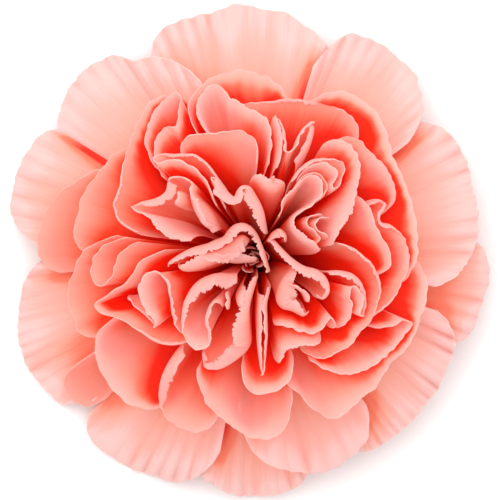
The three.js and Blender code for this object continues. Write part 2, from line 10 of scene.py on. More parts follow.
import bpy
import numpy as np
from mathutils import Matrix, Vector

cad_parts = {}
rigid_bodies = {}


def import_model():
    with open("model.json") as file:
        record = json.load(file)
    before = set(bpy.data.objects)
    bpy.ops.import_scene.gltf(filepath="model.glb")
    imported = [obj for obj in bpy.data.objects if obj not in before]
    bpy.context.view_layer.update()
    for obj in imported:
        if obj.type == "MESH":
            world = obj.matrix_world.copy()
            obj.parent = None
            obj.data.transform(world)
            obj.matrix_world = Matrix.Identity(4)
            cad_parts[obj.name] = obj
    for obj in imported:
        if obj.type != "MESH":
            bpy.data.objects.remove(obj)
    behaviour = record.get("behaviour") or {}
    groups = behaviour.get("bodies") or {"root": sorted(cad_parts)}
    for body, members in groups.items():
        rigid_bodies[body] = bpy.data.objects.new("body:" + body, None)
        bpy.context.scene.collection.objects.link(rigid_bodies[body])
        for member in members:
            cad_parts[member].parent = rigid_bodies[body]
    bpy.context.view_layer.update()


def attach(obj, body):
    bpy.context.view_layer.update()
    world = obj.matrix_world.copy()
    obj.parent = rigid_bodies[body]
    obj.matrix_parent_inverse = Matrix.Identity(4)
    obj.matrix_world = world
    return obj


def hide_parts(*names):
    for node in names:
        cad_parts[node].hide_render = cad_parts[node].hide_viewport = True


log = logging.getLogger("carnation")
MM = 0.001
PETALOID = -1  # the number of a small petal that stands for no node
Pair = tuple[float, float]
Colour = tuple[float, float, float]
Grid = np.ndarray
Facts = dict[str, tuple[Grid, Grid]]


class PetalKind(Enum):
    """The layer a petal belongs to, and the material slot it is finished with."""

    GUARD = "petal_guard"
    COLLAR = "petal_collar"
    CROWN = "petal_crown"


@dataclass(frozen=True)
class PetalPlan:
    """One petal's crest seen from above, in mm, and how far its edge rolls over along the crest."""

    name: str
    crest: tuple[Pair, ...]
    lip: tuple[float, ...] = ()

    @property
    def kind(self) -> PetalKind:
        """The layer, from the first word of the name."""
        first = self.name.split("_")[0]
        return {"guard": PetalKind.GUARD, "collar": PetalKind.COLLAR}.get(first, PetalKind.CROWN)

    @property
    def node(self) -> str:
        """The CAD node that this petal stands for."""
        return f"petal_{self.name}"

    @property
    def seed(self) -> int:
        """A fixed number of this petal's own."""
        return zlib.crc32(self.name.encode()) % 10000


# Every petal of the frame: its crest in mm, and its lip where it rolls over.
PLANS = (
    PetalPlan(
        "guard_top",
        ((-19, 33), (-16, 36.5), (-12, 38.3), (-8, 39.3), (-3, 40.7), (1, 40.2), (4, 39.5), (8, 37.8),
         (11, 36.7), (13, 36.6)),
    ),
    PetalPlan(
        "guard_upper_right",
        ((10.5, 34.4), (13, 35.2), (15, 36), (18, 35.3), (21, 33.8), (24, 31.3), (26, 29), (27, 26),
         (27.8, 23), (28.2, 20.5)),
    ),
    PetalPlan(
        "guard_right",
        ((29, 24), (30.4, 21.3), (32.2, 19.2), (33.3, 17.3), (34.3, 15), (35, 12), (36.2, 6), (36, 3),
         (35.3, 0), (34, -3.5), (33, -6)),
    ),
    PetalPlan(
        "guard_right_low",
        ((37, 3.5), (37.5, 1), (37.9, -1.5), (37.9, -4), (37.4, -6.5), (36.9, -8), (35.8, -11),
         (34.6, -14), (33.4, -16.5)),
    ),
    PetalPlan(
        "guard_low_right",
        ((33.6, -10.5), (33, -14), (31.8, -17), (30, -21), (27.3, -25), (24, -28.5), (21, -31),
         (18, -33.3), (16, -34.6)),
    ),
    PetalPlan(
        "guard_fold_low",
        ((20.5, -28), (18, -31), (16, -32.6), (14, -34.2), (12, -35.1), (9, -35.6), (6, -35.3),
         (3, -34.5), (0, -32.9), (-2, -31.2), (-3.4, -30)),
    ),
    PetalPlan(
        "guard_bottom",
        ((10, -37), (7.5, -38), (5, -38.8), (3, -39.3), (-2, -39.6), (-5, -38.8), (-8, -38), (-10, -38.2)),
    ),
    PetalPlan(
        "guard_low_left",
        ((-6.5, -36.2), (-8.5, -36.6), (-11, -37), (-14, -37.2), (-17.3, -36), (-20, -35.1),
         (-23, -33.6), (-25.2, -32.1), (-27, -30.7), (-28.4, -29.4), (-29.6, -28.2)),
    ),
    PetalPlan(
        "guard_left_low",
        ((-29, -26.2), (-30.3, -25.4), (-32, -25), (-34, -22.5), (-36, -20.5), (-37.3, -18.7),
         (-38.2, -16), (-38.7, -14), (-39, -12), (-38.5, -8), (-38.3, -4), (-38.3, -1)),
    ),
    PetalPlan(
        "guard_left",
        ((-36.9, 0), (-38, 3), (-39.6, 5.5), (-40, 8), (-39.6, 11), (-38.7, 14), (-37.2, 17),
         (-35.9, 19.5), (-34.9, 22)),
    ),
    PetalPlan(
        "guard_upper_left",
        ((-34.2, 20.6), (-33, 23), (-31.5, 25.5), (-29.5, 28.5), (-27, 30.8), (-23.7, 32.3), (-20, 31.6),
         (-16.5, 32), (-12, 31.3), (-9, 30.4)),
    ),
    PetalPlan(
        "collar_low_left",
        ((-27, -26), (-29, -24.6), (-30.5, -23), (-31.2, -21), (-30.8, -19.5), (-29.8, -18.3),
         (-28.5, -17.3)),
    ),
    PetalPlan(
        "collar_left_outer",
        ((-36, -3.5), (-35.8, 0), (-35.3, 3), (-34, 7), (-31.5, 10), (-30, 11.2), (-28, 12.7),
         (-26, 14.3), (-24.8, 15.8)),
    ),
    PetalPlan(
        "collar_left_upper",
        ((-30.6, -0.5), (-30, 2), (-29.2, 5), (-28, 9), (-27, 11), (-25.5, 13), (-24.2, 14.5),
         (-23.3, 16), (-21.9, 18), (-21.2, 19.5)),
    ),
    PetalPlan(
        "collar_left",
        ((-25.6, 3.3), (-26.3, 2.6), (-27.5, 1), (-28.8, -1.2), (-29.6, -3.3), (-30.3, -6), (-30.1, -9),
         (-29.3, -10.8), (-29.1, -12.7), (-28, -14.3), (-27.2, -15.4)),
    ),
    PetalPlan(
        "collar_left_fold",
        ((-23.8, 3), (-25, 1.6), (-25.9, 0), (-26.4, -2), (-26.3, -4), (-25.2, -5.2), (-23.9, -4.6),
         (-22.9, -3), (-22.5, -0.8), (-22, 1), (-21.6, 2.2)),
    ),
    PetalPlan(
        "shoulder_upper_left",
        ((-22, 3.6), (-23.6, 5), (-24.2, 7.5), (-23.8, 9), (-23, 10.4), (-22.7, 12), (-22.3, 14),
         (-21.5, 16), (-20.6, 18.4), (-19.6, 20.8), (-18.4, 23), (-17.2, 24.6), (-15.4, 26.1),
         (-13.4, 27.1), (-11.4, 27.7)),
        (-0.5, -1.4, -1.5, -0.8, -0.5, -0.3, 0, 0),
    ),
    PetalPlan(
        "hairpin_upper_left",
        ((-19, 16.3), (-18.6, 18.7), (-17.2, 21.4), (-16.2, 23), (-15, 24.8), (-13.3, 26), (-12.2, 25.4),
         (-12.2, 24), (-12.4, 22.2), (-13, 20.8), (-14.4, 20.9), (-15.6, 20), (-16.6, 18.6),
         (-17.6, 16.6), (-18, 14.6)),
        (0, 0, 0, 0, 0, 0, 0, 0.3, 0.6, 0.6, 0.3),
    ),
    PetalPlan(
        "crown_top",
        ((-10.2, 21.2), (-11, 22.7), (-11, 24), (-10.3, 25.7), (-9, 27), (-7, 28.4), (-4, 29.4),
         (-2, 29.6), (1, 28.9), (4, 27.9), (6.2, 27.6)),
    ),
    PetalPlan(
        "crown_top_fold",
        ((-7.6, 21.6), (-8.6, 22.8), (-8.7, 24), (-8, 25.2), (-6.9, 26), (-5.8, 25.4), (-5, 24.4),
         (-3.6, 23.6), (-2, 23), (0, 22.4), (1.2, 21.3), (1.9, 19.8), (2.2, 18), (2.3, 16.2)),
        (0.8, 1.2, 1.3, 1.1, 0.8, 0.6, 0.4, 0.3),
    ),
    PetalPlan(
        "crown_top_lip",
        ((-4.2, 26.2), (-2, 25.6), (0, 25.3), (3, 25.7), (5, 26), (8, 26), (10, 25.6), (13, 24.6),
         (16, 23), (17.8, 21.6), (18.8, 20)),
        (-0.2, -0.8, -1.3, -1.8, -2, -1.8, -1.3, -0.8, -0.3),
    ),
    PetalPlan(
        "shoulder_upper_right",
        ((8.4, 27), (10, 27.3), (12.5, 27.2), (14, 26.7), (16, 25.8), (18, 24.3), (19.3, 23),
         (20.2, 21.5), (20.8, 20), (21.3, 18), (22, 16), (22.9, 13.8), (24, 11), (24.8, 9), (25.3, 7),
         (25.8, 5), (26.1, 2), (26.2, -1), (25.9, -3.2), (25.3, -5.3), (24.7, -7)),
    ),
    PetalPlan(
        "crown_double_fold",
        ((3.3, 15.6), (3.5, 17.4), (3.4, 19.2), (2.9, 21), (2.6, 22.4), (3.8, 22.2), (4.8, 20.8),
         (5.1, 18.8), (5.3, 16.8), (6.1, 17.6), (6.8, 19.6), (8, 21.4), (9.2, 22.2), (10, 21),
         (9.6, 19.4), (8.7, 17.7), (7.6, 16.4)),
        (-0.7, -0.9, -0.9, -0.8, -0.8, -0.9, -0.8, -0.4, -0.9, -1.3, -1.3, -1.1, -0.8),
    ),
    PetalPlan(
        "right_curl",
        ((18.9, 8), (19.5, 9.2), (20.5, 9.7), (21.5, 9.2), (22, 8), (21.2, 6.8), (20.6, 5.6), (22, 5.2),
         (23.2, 4.2), (24.1, 2.3), (24.8, 0), (24.7, -3), (23.9, -5), (23.2, -7), (21.8, -9.3),
         (20.2, -11.4), (19.2, -12.4)),
        (-0.6, -1.4, -1.3, -0.4, -0.3, -1, -1.3, -1),
    ),
    PetalPlan(
        "right_lip",
        ((13.8, 20.8), (15.4, 20), (17, 18.8), (18.2, 17.2), (19.4, 15.8), (20.6, 14.4), (21.8, 12.6),
         (22.6, 10.8), (23.2, 9), (23.6, 7.4)),
        (-0.6, -0.8, -0.6, -0.3, -0.2, -0.2, -0.2),
    ),
    PetalPlan(
        "right_long_fold",
        ((13, 1.6), (12.8, 3.6), (13.3, 5.8), (14, 8.5), (14.9, 10.8), (16.1, 13), (16, 15.2),
         (15, 17.2), (13.6, 18.8), (12.2, 20.2)),
        (-0.4, -1, -2, -1.6, -0.7, -0.4, -0.4, -0.4),
    ),
    PetalPlan(
        "right_pale",
        ((16.9, 10.8), (17.4, 9), (18, 7.6), (18.9, 5.2), (20, 3), (21, 1.2), (21.6, -0.3), (22, -2.4),
         (21.9, -4)),
    ),
    PetalPlan(
        "nest_upper_right",
        ((5.8, 13.2), (7, 14.6), (8.4, 15.6), (10, 16.1), (12.2, 15.9), (14, 15.2), (14.6, 13.8),
         (13.9, 12), (13.3, 10.6), (12.4, 10.2), (12, 11.2), (12.7, 12.8), (11.8, 14), (10.4, 14.5),
         (8.6, 14.1), (7.3, 13)),
        (-0.6, -1.2, -1.3, -0.9, -0.5, -0.3, -0.3, -0.4, -0.4, -0.3),
    ),
    PetalPlan(
        "nest_slot",
        ((4.2, 7), (5, 9), (6, 10), (7, 11.2), (8.3, 12.3), (9.2, 12.3), (10.3, 11.2), (10.2, 10),
         (9.4, 8.8), (8.2, 7.8), (6.6, 6.6), (5.6, 5.2), (5.8, 3.8), (7, 2.4), (9, 1.2), (10.8, 0.4)),
        (0.2, 0.3, 0.35, 0.4, 0.4, 0.4, 0.5, 0.8, 1, 0.8),
    ),
    PetalPlan(
        "cup_right",
        ((8.3, -17.9), (10, -18.1), (12, -17.7), (13.5, -16.4), (15, -15), (17, -12.7), (18.5, -11.3),
         (20.1, -8.5), (20.7, -5.5), (20.2, -2.9), (19, -0.9), (18, 0.1), (16.5, 1.4), (14.5, 2.2)),
        (0.5, 0.9, 0.8, 0.4, 0.4, 0.9, 1.1, 1.2, 1.2, 1, 0.5),
    ),
    PetalPlan(
        "cup_right_fold",
        ((12.8, -2.7), (14.5, -2.6), (16.8, -3.2), (18, -4.8), (18.5, -7), (18.2, -9), (17.2, -10.4),
         (16.4, -9.8), (16.8, -8), (16.4, -6.2), (15.5, -5.4), (14.9, -6.4), (15.2, -8), (15, -10.5),
         (14.5, -12.4), (14.2, -13.6)),
        (-0.6, -1.4, -1.7, -1.7, -1.5, -1, -0.4, -0.3, -0.3, 0, 0.3, 0.4, 0.4),
    ),
    PetalPlan(
        "cup_right_inner",
        ((3.2, 2), (4.2, 0.9), (6, -0.7), (8, -1.9), (10.2, -2.5), (11.6, -3.6), (12.3, -5.2),
         (12.2, -6.8), (11.3, -8), (10.2, -8.1)),
        (-0.7, -1.1, -1.2, -1.5, -1.9, -1.9, -1.7, -1.2, -0.8),
    ),
    PetalPlan(
        "hood",
        ((5.6, -2.6), (4.4, -4), (3.6, -6), (3.4, -8), (4.2, -9.2), (5.8, -9.8), (7.4, -10.6), (8.8, -11)),
        (0.6, 1.8, 2.8, 3.1, 3.1, 2.6, 1.6, 0.8),
    ),
    PetalPlan(
        "low_right_fold",
        ((3, -12.2), (4, -11.2), (5.2, -11), (7, -11.8), (8.6, -12.4), (10.2, -12.2), (11.2, -11.2),
         (12, -10.3), (12.8, -11), (13.1, -12.2), (13, -13.4)),
        (-0.3, -0.7, -0.7, -0.4, 0, 0, 0, 0),
    ),
    PetalPlan(
        "low_lip",
        ((3.2, -19), (3.5, -16.8), (3.9, -15), (5.4, -13.9), (7.2, -13.6), (9.6, -14), (11.6, -14.4)),
        (-0.3, -1, -1.4, -1, -0.4),
    ),
    PetalPlan(
        "low_wave",
        ((-2.6, -20.4), (-1.6, -21.6), (-0.4, -22.4), (1, -22.5), (2.6, -22.1), (3.7, -21.6),
         (4.8, -20.8), (6, -19.6), (6.8, -18.8)),
    ),
    PetalPlan(
        "low_outer",
        ((-10.8, -21.2), (-9, -23), (-6, -26), (-3, -28.3), (0, -29.8), (3, -29.6), (5.4, -27.6),
         (6.6, -25.4)),
    ),
    PetalPlan(
        "low_pointed",
        ((0.5, -7.5), (0.3, -10), (0.2, -12), (0.3, -16), (1, -19.6), (1.6, -17), (1.9, -14), (1.9, -11),
         (1.9, -8.5), (2.3, -6.4)),
        (0.6, 0.8, 0.8, 0.6, 0.3, 0.2, 0.4, 0.8, 0.8, 0.6),
    ),
    PetalPlan(
        "low_right_wing",
        ((9.8, -19.4), (12, -19.4), (16, -19.2), (19, -17.8), (21.5, -15.8), (24, -13), (25, -11.2),
         (24.2, -10.8), (22.6, -11.8), (20.4, -13.5)),
    ),
    PetalPlan(
        "low_right_outer",
        ((4.8, -23), (7.3, -24), (9.5, -25.5), (13.3, -26.5), (15.3, -25), (17, -23.4), (19, -21.5),
         (21, -18.7), (24, -15.2), (26, -12), (27.7, -7), (28.5, -4), (28.8, 0)),
    ),
    PetalPlan(
        "left_point",
        ((-16.3, 0.6), (-17.6, 0), (-19, -1.4), (-19.8, -3.2), (-21, -4.7), (-23, -6), (-24.5, -7),
         (-26, -8.2), (-24.5, -9.7), (-21.5, -11.2), (-20, -12.4), (-18, -14.2), (-16, -15.5),
         (-14, -16.4), (-12.5, -16.8)),
        (0, 0, 0, 0, 0, 0, 0.6, 1, 1.4, 1.7, 0.8),
    ),
    PetalPlan(
        "left_zigzag",
        ((-23.9, -8), (-21, -8.8), (-19, -9.9), (-17.4, -11), (-16.3, -12), (-15.9, -10.6),
         (-16.9, -8.6), (-17.6, -6.5), (-17.7, -4.9), (-17.2, -3.6), (-16, -3.2), (-15.2, -4.2),
         (-14.7, -5.5), (-14.3, -7.5), (-14.2, -10.5), (-13.6, -13), (-12.4, -14.9)),
        (0.5, 1, 1.1, 0.8, 0.3, 0.9, 1.1, 1, 0.6, 1, 1.5, 1.3, 0.7, 0.4),
    ),
    PetalPlan(
        "middle_left",
        ((-16, -1.7), (-14, -0.6), (-12, 0.4), (-10, 1.1), (-8.3, 1.5), (-7, 2), (-5.4, 2.6),
         (-4.4, 3.8), (-3.2, 4.7), (-2, 4.9), (-0.6, 4.3), (0.4, 3), (0.9, 1.6), (1.4, 0.2), (1.9, -1.4)),
        (-0.6, -1.2, -1.5, -1.6, -1.5, -1.2, -1, -0.6),
    ),
    PetalPlan(
        "middle_left_lip",
        ((-13.8, -1.9), (-12.4, -2.8), (-10.5, -2.8), (-8, -2), (-6, -1.3), (-3, -1.5), (-1.2, -1.4)),
        (0.6, 1.6, 2, 1.9, 1.6, 0.8),
    ),
    PetalPlan(
        "cup_left",
        ((-4, -3.2), (-7, -3.2), (-9.6, -4.2), (-11.4, -6), (-12.5, -9.5), (-12.2, -12.4),
         (-11.2, -13.9), (-9.6, -14.9), (-8.2, -14.6), (-8.1, -13), (-8.6, -11.5), (-8.4, -9.8),
         (-7.8, -8.4), (-6.8, -7.6), (-5.8, -7.8), (-5.3, -9)),
        (1.6, 2.3, 2.5, 2.4, 2.2, 1.9, 1.5, 0.9, 0.1, -0.5, -1, -1.1, -0.9, -0.5, -0.3),
    ),
    PetalPlan(
        "front_lip",
        ((0, -5.3), (-0.8, -8), (-0.9, -12), (-0.9, -15.7), (-3, -18.1), (-7, -20), (-9.5, -19.9),
         (-10.4, -18.8)),
        (-0.8, -1.8, -2.8, -3.3, -3.3, -2.8, -1.4),
    ),
    PetalPlan(
        "front_left_lip",
        ((-14.2, -17.6), (-15.6, -19), (-16.6, -22), (-16.5, -24.8), (-15, -26.8), (-12.5, -28.4),
         (-10, -29.4), (-6.6, -29.8)),
        (1.4, 2.8, 2.4, 1.5, 0.8, 0.4, 0.2, 0.2),
    ),
    PetalPlan(
        "front_left_large",
        ((-25.2, -11), (-26.2, -12.7), (-26, -15.2), (-25.3, -18.3), (-24, -21), (-21, -23.8),
         (-18, -26), (-16.4, -27.6)),
    ),
    PetalPlan(
        "left_loop",
        ((-11, 2.6), (-13, 3.5), (-15, 5), (-16.5, 6.2), (-18.5, 6.9), (-20.2, 7.5), (-19, 8.8),
         (-17, 9.6), (-15.6, 10.6), (-15.2, 12), (-14.4, 12.9), (-13, 12.9), (-11, 12.3), (-10, 11.2),
         (-10, 10), (-9.2, 9), (-8.2, 8), (-7.2, 6.4), (-6.4, 4.6)),
        (0.8, 1.4, 1.5, 0.6, -0.2, -1.2, -2.8, -2.6, -0.8, -0.3, -0.6, -1.6, -2.2, -1.2),
    ),
    PetalPlan(
        "upper_left_lip",
        ((-6.6, 14.1), (-7.9, 15.4), (-9.8, 16.6), (-12, 17), (-14, 17), (-15.9, 16.4), (-16.6, 15.4),
         (-16, 14.5), (-14, 14.9), (-11.2, 14.2), (-9.3, 12.8), (-8.2, 11.3), (-7.2, 9.2), (-6.6, 8)),
        (0.4, 1, 1.4, 1.3, 0.5, 0.1, 0.3, 0.5, 0.4, 0.2),
    ),
    PetalPlan(
        "upper_left_arch",
        ((-14, 18.4), (-12.6, 19), (-11, 19.6), (-8, 20), (-5, 20.2), (-3, 20.2), (-1, 19.4), (0.4, 18),
         (0.6, 16.2)),
        (-0.3, -0.8, -1, -0.9, -0.5, -0.3, -0.3),
    ),
    PetalPlan(
        "upper_fold",
        ((-0.6, 13.2), (0.4, 11.8), (1.6, 10.6), (3, 10.2), (4.2, 11), (5, 12.2)),
        (0.5, 1.3, 2, 2.1, 1.7, 0.6),
    ),
    PetalPlan(
        "middle_hairpin",
        ((-4.9, 7.6), (-5.8, 9), (-6.8, 11), (-7.2, 12.4), (-6.4, 12.7), (-5.2, 11.6), (-4.2, 10),
         (-3.5, 9.4), (-2.9, 10.6), (-2, 11.4), (-1, 11.3), (0.2, 9.6), (1.1, 7.5), (1.6, 5.4),
         (1.9, 3.9)),
        (0, -0.3, -0.4, -0.3, -1.2, -2.2, -1.8, -0.8, -1.8, -2.3, -2.4, -2.2, -1.5, -0.8),
    ),
)

# Small petals between the folds, which stand for no node of the frame.
PETALOIDS = (
    PetalPlan(
        "petaloid_nest",
        ((6.5, 12.2), (7.8, 12.9), (9.4, 13.3), (10.7, 12.8), (11.5, 11.7), (11.7, 10.6), (11.2, 9.4),
         (9.9, 8.2)),
        (-0.3, -0.5, -0.5, -0.4),
    ),
    PetalPlan(
        "petaloid_east",
        ((11.6, 6.3), (10.2, 6.1), (8.6, 5.9), (7.9, 5), (8.4, 4.2), (9.7, 3.4), (10.4, 2.5), (10.2, 1.6)),
    ),
    PetalPlan(
        "petaloid_east_small",
        ((12.6, 6), (11.2, 5.9), (9.9, 5.6), (9.3, 4.9), (9.6, 4.2), (10.8, 3.4), (12.3, 2.6)),
    ),
    PetalPlan(
        "petaloid_finger",
        ((-11.5, 11), (-11, 8.7), (-10, 6.3), (-8.5, 4.5), (-7, 3.8)),
        (0.5, 1.6, 1.8, 0.8),
    ),
    PetalPlan(
        "petaloid_curl",
        ((-13.6, 7.9), (-12.3, 8.5), (-12, 9.8), (-12.6, 10.8)),
        (0.3, 0.8, 0.4),
    ),
    PetalPlan(
        "petaloid_heart",
        ((-9.5, -0.2), (-7, 0.6), (-5, 1.3), (-3.4, 2.4), (-2, 2.9), (-0.9, 2.3)),
        (-0.8, -1.8, -2.6, -2.9, -2.6, -1.6),
    ),
    PetalPlan(
        "petaloid_middle",
        ((1.9, 2), (2.7, 3.4), (3.9, 4), (4.8, 3.2), (5.1, 2)),
        (-0.3, -1.2, -1.2, -0.3),
    ),
    PetalPlan(
        "petaloid_cup",
        ((-1.9, -5.3), (-2.6, -6.4), (-3, -7.7), (-2.6, -9.2)),
        (0.5, 1, 0.7),
    ),
    PetalPlan(
        "petaloid_cup_small",
        ((-4.6, -6.2), (-4.2, -7.6), (-4.3, -9.3)),
        (-0.4, -0.8, -0.4),
    ),
    PetalPlan(
        "petaloid_hood",
        ((4.6, -4.4), (6, -5.4), (7.4, -6.6), (8.2, -8.4)),
        (0.4, 0.8, 0.5),
    ),
)


def smooth(x: Grid) -> Grid:
    """A soft step: 3x^2 - 2x^3 between 0 and 1, flat outside.

    Args:
        x: Any numbers.

    Returns:
        Numbers between 0 and 1.
    """
    x = np.clip(x, 0.0, 1.0)
    return x * x * (3.0 - 2.0 * x)


def ripple(x: Grid, wavelength: float, seed: int, octaves: int = 3) -> Grid:
    """An uneven wave between about -1 and 1: a sum of sines of unrelated lengths and phases.

    Args:
        x: Places along a line.
        wavelength: The main wave's length, in the same unit.
        seed: Fixes the phases.
        octaves: How many sines.

    Returns:
        The wave's height at each place.
    """
    draw = np.random.default_rng(seed)
    total = np.zeros_like(x, dtype=float)
    for _ in range(octaves):
        length = wavelength * draw.uniform(0.65, 1.6)
        total = total + np.sin(2.0 * np.pi * (x / length + draw.uniform()))
    return total / octaves**0.5 / 1.2


@dataclass(frozen=True)
class BloomForm:
    """The nested arcs that every petal follows from the calyx mouth to its crest. Sizes in mm."""

    radius: float = 40.0
    crown: float = 47.0
    skirt: float = 0.15
    power: float = 3.0
    dimple_depth: float = 4.0
    dimple_radius: float = 6.0
    mouth_z: float = 22.0
    claw_foot_z: float = 5.4
    claw_ring: float = 5.3
    claw_core: float = 2.0
    claw_spacing: float = 0.9
    claw_gather: float = 0.83
    claw_power: float = 0.6
    climb: float = 14.0
    lean: float = 0.04
    slope_middle: float = 88.0
    slope_fall: float = 150.0
    slope_power: float = 1.6
    run_share: float = 0.38
    run_least: float = 2.0
    fold_pull: float = 0.45
    fold_level: float = 0.35
    fold_centres: tuple[tuple[float, float, float], ...] = (
        (9, 11, 5),
        (-10, 11, 6),
        (-8, -9.5, 4.5),
        (13, -7, 5),
        (-2, 16, 4),
        (-21, -9, 4),
    )

    def share(self, r: Grid) -> Grid:
        """The layout radius as a share of the bloom's, at most 1."""
        return np.minimum(1.0, r / self.radius)

    def dome_height(self, r: Grid) -> Grid:
        """The crown's height less a fall that grows as the radius cubed, with a dimple in the middle."""
        fall = (self.crown - self.skirt) * self.share(r) ** self.power
        return self.crown - fall - self.dimple_depth * np.exp(-((r / self.dimple_radius) ** 2))

    def arc(self, r: Grid, t: Grid) -> tuple[Grid, Grid]:
        """The arc of layout radius r at t from 0 (calyx mouth) to 1 (crest): a cubic Bezier curve
        that leaves the mouth almost straight up and meets the dome at a slope, in degrees, which
        falls from the middle outwards as a power of the radius.

        Args:
            r: Layout radii.
            t: Levels, of the same shape.

        Returns:
            Distance from the axis and height.
        """
        s = self.share(r)
        end = (r, self.dome_height(r))
        start = (self.claw_ring * s**self.claw_power, np.full_like(r, self.mouth_z))
        slope = np.radians(self.slope_middle - self.slope_fall * s**self.slope_power)
        reach = end[0] - start[0]
        run = self.run_share * reach + self.run_least
        rise = (start[0] + self.lean * reach, start[1] + self.climb)
        turn = (end[0] - run * np.cos(slope), end[1] - run * np.sin(slope))
        weights = ((1 - t) ** 3, 3 * t * (1 - t) ** 2, 3 * t**2 * (1 - t), t**3)
        at = [sum(w * p[k] for w, p in zip(weights, (start, rise, turn, end))) for k in (0, 1)]
        return at[0], at[1]

    def draw_in(self, xy: Grid, t: Grid) -> Grid:
        """Layout points moved towards the folded groups by a Gaussian share, fully at the mouth.

        Args:
            xy: Points, the last axis holding x and y.
            t: Levels, of the shape of xy without its last axis.

        Returns:
            The moved points.
        """
        pull = self.fold_pull * smooth((1.0 - t) / self.fold_level)
        moved = xy.copy()
        for cx, cy, reach in self.fold_centres:
            away = xy - np.array([cx, cy], float)
            weight = pull * np.exp(-(away**2).sum(-1) / (2.0 * reach**2))
            moved -= away * weight[..., None]
        return moved


class Crest:
    """A petal's crest as a smooth curve: cubic Hermite pieces with chord-length tangents."""

    def __init__(self, points: tuple[Pair, ...]) -> None:
        """Measures the crest.

        Args:
            points: The crest's points in mm.
        """
        self.points = np.array(points, float)
        steps = np.linalg.norm(np.diff(self.points, axis=0), axis=1)
        self.knots = np.concatenate([[0.0], np.cumsum(steps)])
        self.length = float(self.knots[-1])
        self.tangents = np.gradient(self.points, self.knots, axis=0)

    def at(self, s: Grid) -> Grid:
        """Points at distances s along the crest.

        Args:
            s: Distances in mm, any shape.

        Returns:
            Points, with one more axis for x and y.
        """
        s = np.clip(s, 0.0, self.length)
        k = np.clip(np.searchsorted(self.knots, s, side="right") - 1, 0, len(self.knots) - 2)
        span = (self.knots[k + 1] - self.knots[k])[..., None]
        q = (s - self.knots[k])[..., None] / span
        p, m = self.points, self.tangents
        return (
            (2 * q**3 - 3 * q**2 + 1) * p[k]
            + (q**3 - 2 * q**2 + q) * span * m[k]
            + (3 * q**2 - 2 * q**3) * p[k + 1]
            + (q**3 - q**2) * span * m[k + 1]
        )

    def side(self, s: Grid, reach: float = 0.15) -> Grid:
        """Unit vectors to the left of the crest's run.

        Args:
            s: Distances in mm.
            reach: How far to either side the run's direction is measured.

        Returns:
            Vectors, with one more axis for x and y.
        """
        ahead = self.at(s + reach) - self.at(s - reach)
        ahead /= np.linalg.norm(ahead, axis=-1, keepdims=True)
        return np.stack([-ahead[..., 1], ahead[..., 0]], axis=-1)


def unit(v: Grid) -> Grid:
    """Vectors scaled to a length of one."""
    return v / np.maximum(np.linalg.norm(v, axis=-1, keepdims=True), 1e-9)


def evened(values: Grid, reach: int) -> Grid:
    """A running mean over a window of 2 reach + 1 values, with the ends held."""
    padded = np.pad(values, reach, mode="edge")
    return np.convolve(padded, np.ones(2 * reach + 1) / (2 * reach + 1), mode="valid")


class CrestMap:
    """All the crests seen from above, to measure how much room there is beside each."""

    def __init__(
        self, crests: list[Crest], step: float = 0.4, least: float = 0.2, most: float = 12.0
    ) -> None:
        """Samples the crests.

        Args:
            crests: Every petal's crest.
            step: How finely the crests are sampled, in mm.
            least: The narrowest gap that counts, in mm.
            most: The widest gap that counts, in mm.
        """
        runs = [np.arange(0.0, c.length + step, step) for c in crests]
        self.least = least
        self.most = most
        self.s = np.concatenate(runs)
        self.points = np.concatenate([c.at(run) for c, run in zip(crests, runs)])
        self.owner = np.concatenate([np.full(len(run), k) for k, run in enumerate(runs)])

    def room(self, owner: int, s: Grid, start: Grid, way: Grid, cone: float = 0.6) -> Grid:
        """The distance from each start to the nearest crest that lies in a cone round its way. The
        start's own crest counts only where it comes back: where the way along it is more than twice
        the straight distance and 1.5 mm.

        Args:
            owner: The petal that the starts are on.
            s: Distances of the starts along that crest.
            start: Points, n by 2.
            way: Unit vectors, n by 2.
            cone: The cosine of the cone's half angle.

        Returns:
            Distances in mm, between the narrowest and the widest gap.
        """
        away = self.points[None] - start[:, None]
        far = np.linalg.norm(away, axis=-1)
        ahead = (away * way[:, None]).sum(-1) > cone * far
        along = np.abs(self.s[None] - s[:, None])
        other = (self.owner != owner)[None] | (along > 2.0 * far + 1.5)
        return np.where(ahead & other, far, self.most).min(axis=1).clip(self.least, self.most)


def new_piece(name: str, points: Grid, faces: Grid) -> bpy.types.Object:
    """A smooth mesh object, linked to the scene.

    Args:
        name: The object's name.
        points: Points in metres.
        faces: The points of each face.

    Returns:
        The object.
    """
    mesh = bpy.data.meshes.new(name)
    mesh.from_pydata(points.reshape(-1, 3).tolist(), [], faces.tolist())
    mesh.polygons.foreach_set("use_smooth", np.ones(len(faces), bool))
    mesh.update()
    piece = bpy.data.objects.new(name, mesh)
    bpy.context.scene.collection.objects.link(piece)
    return piece


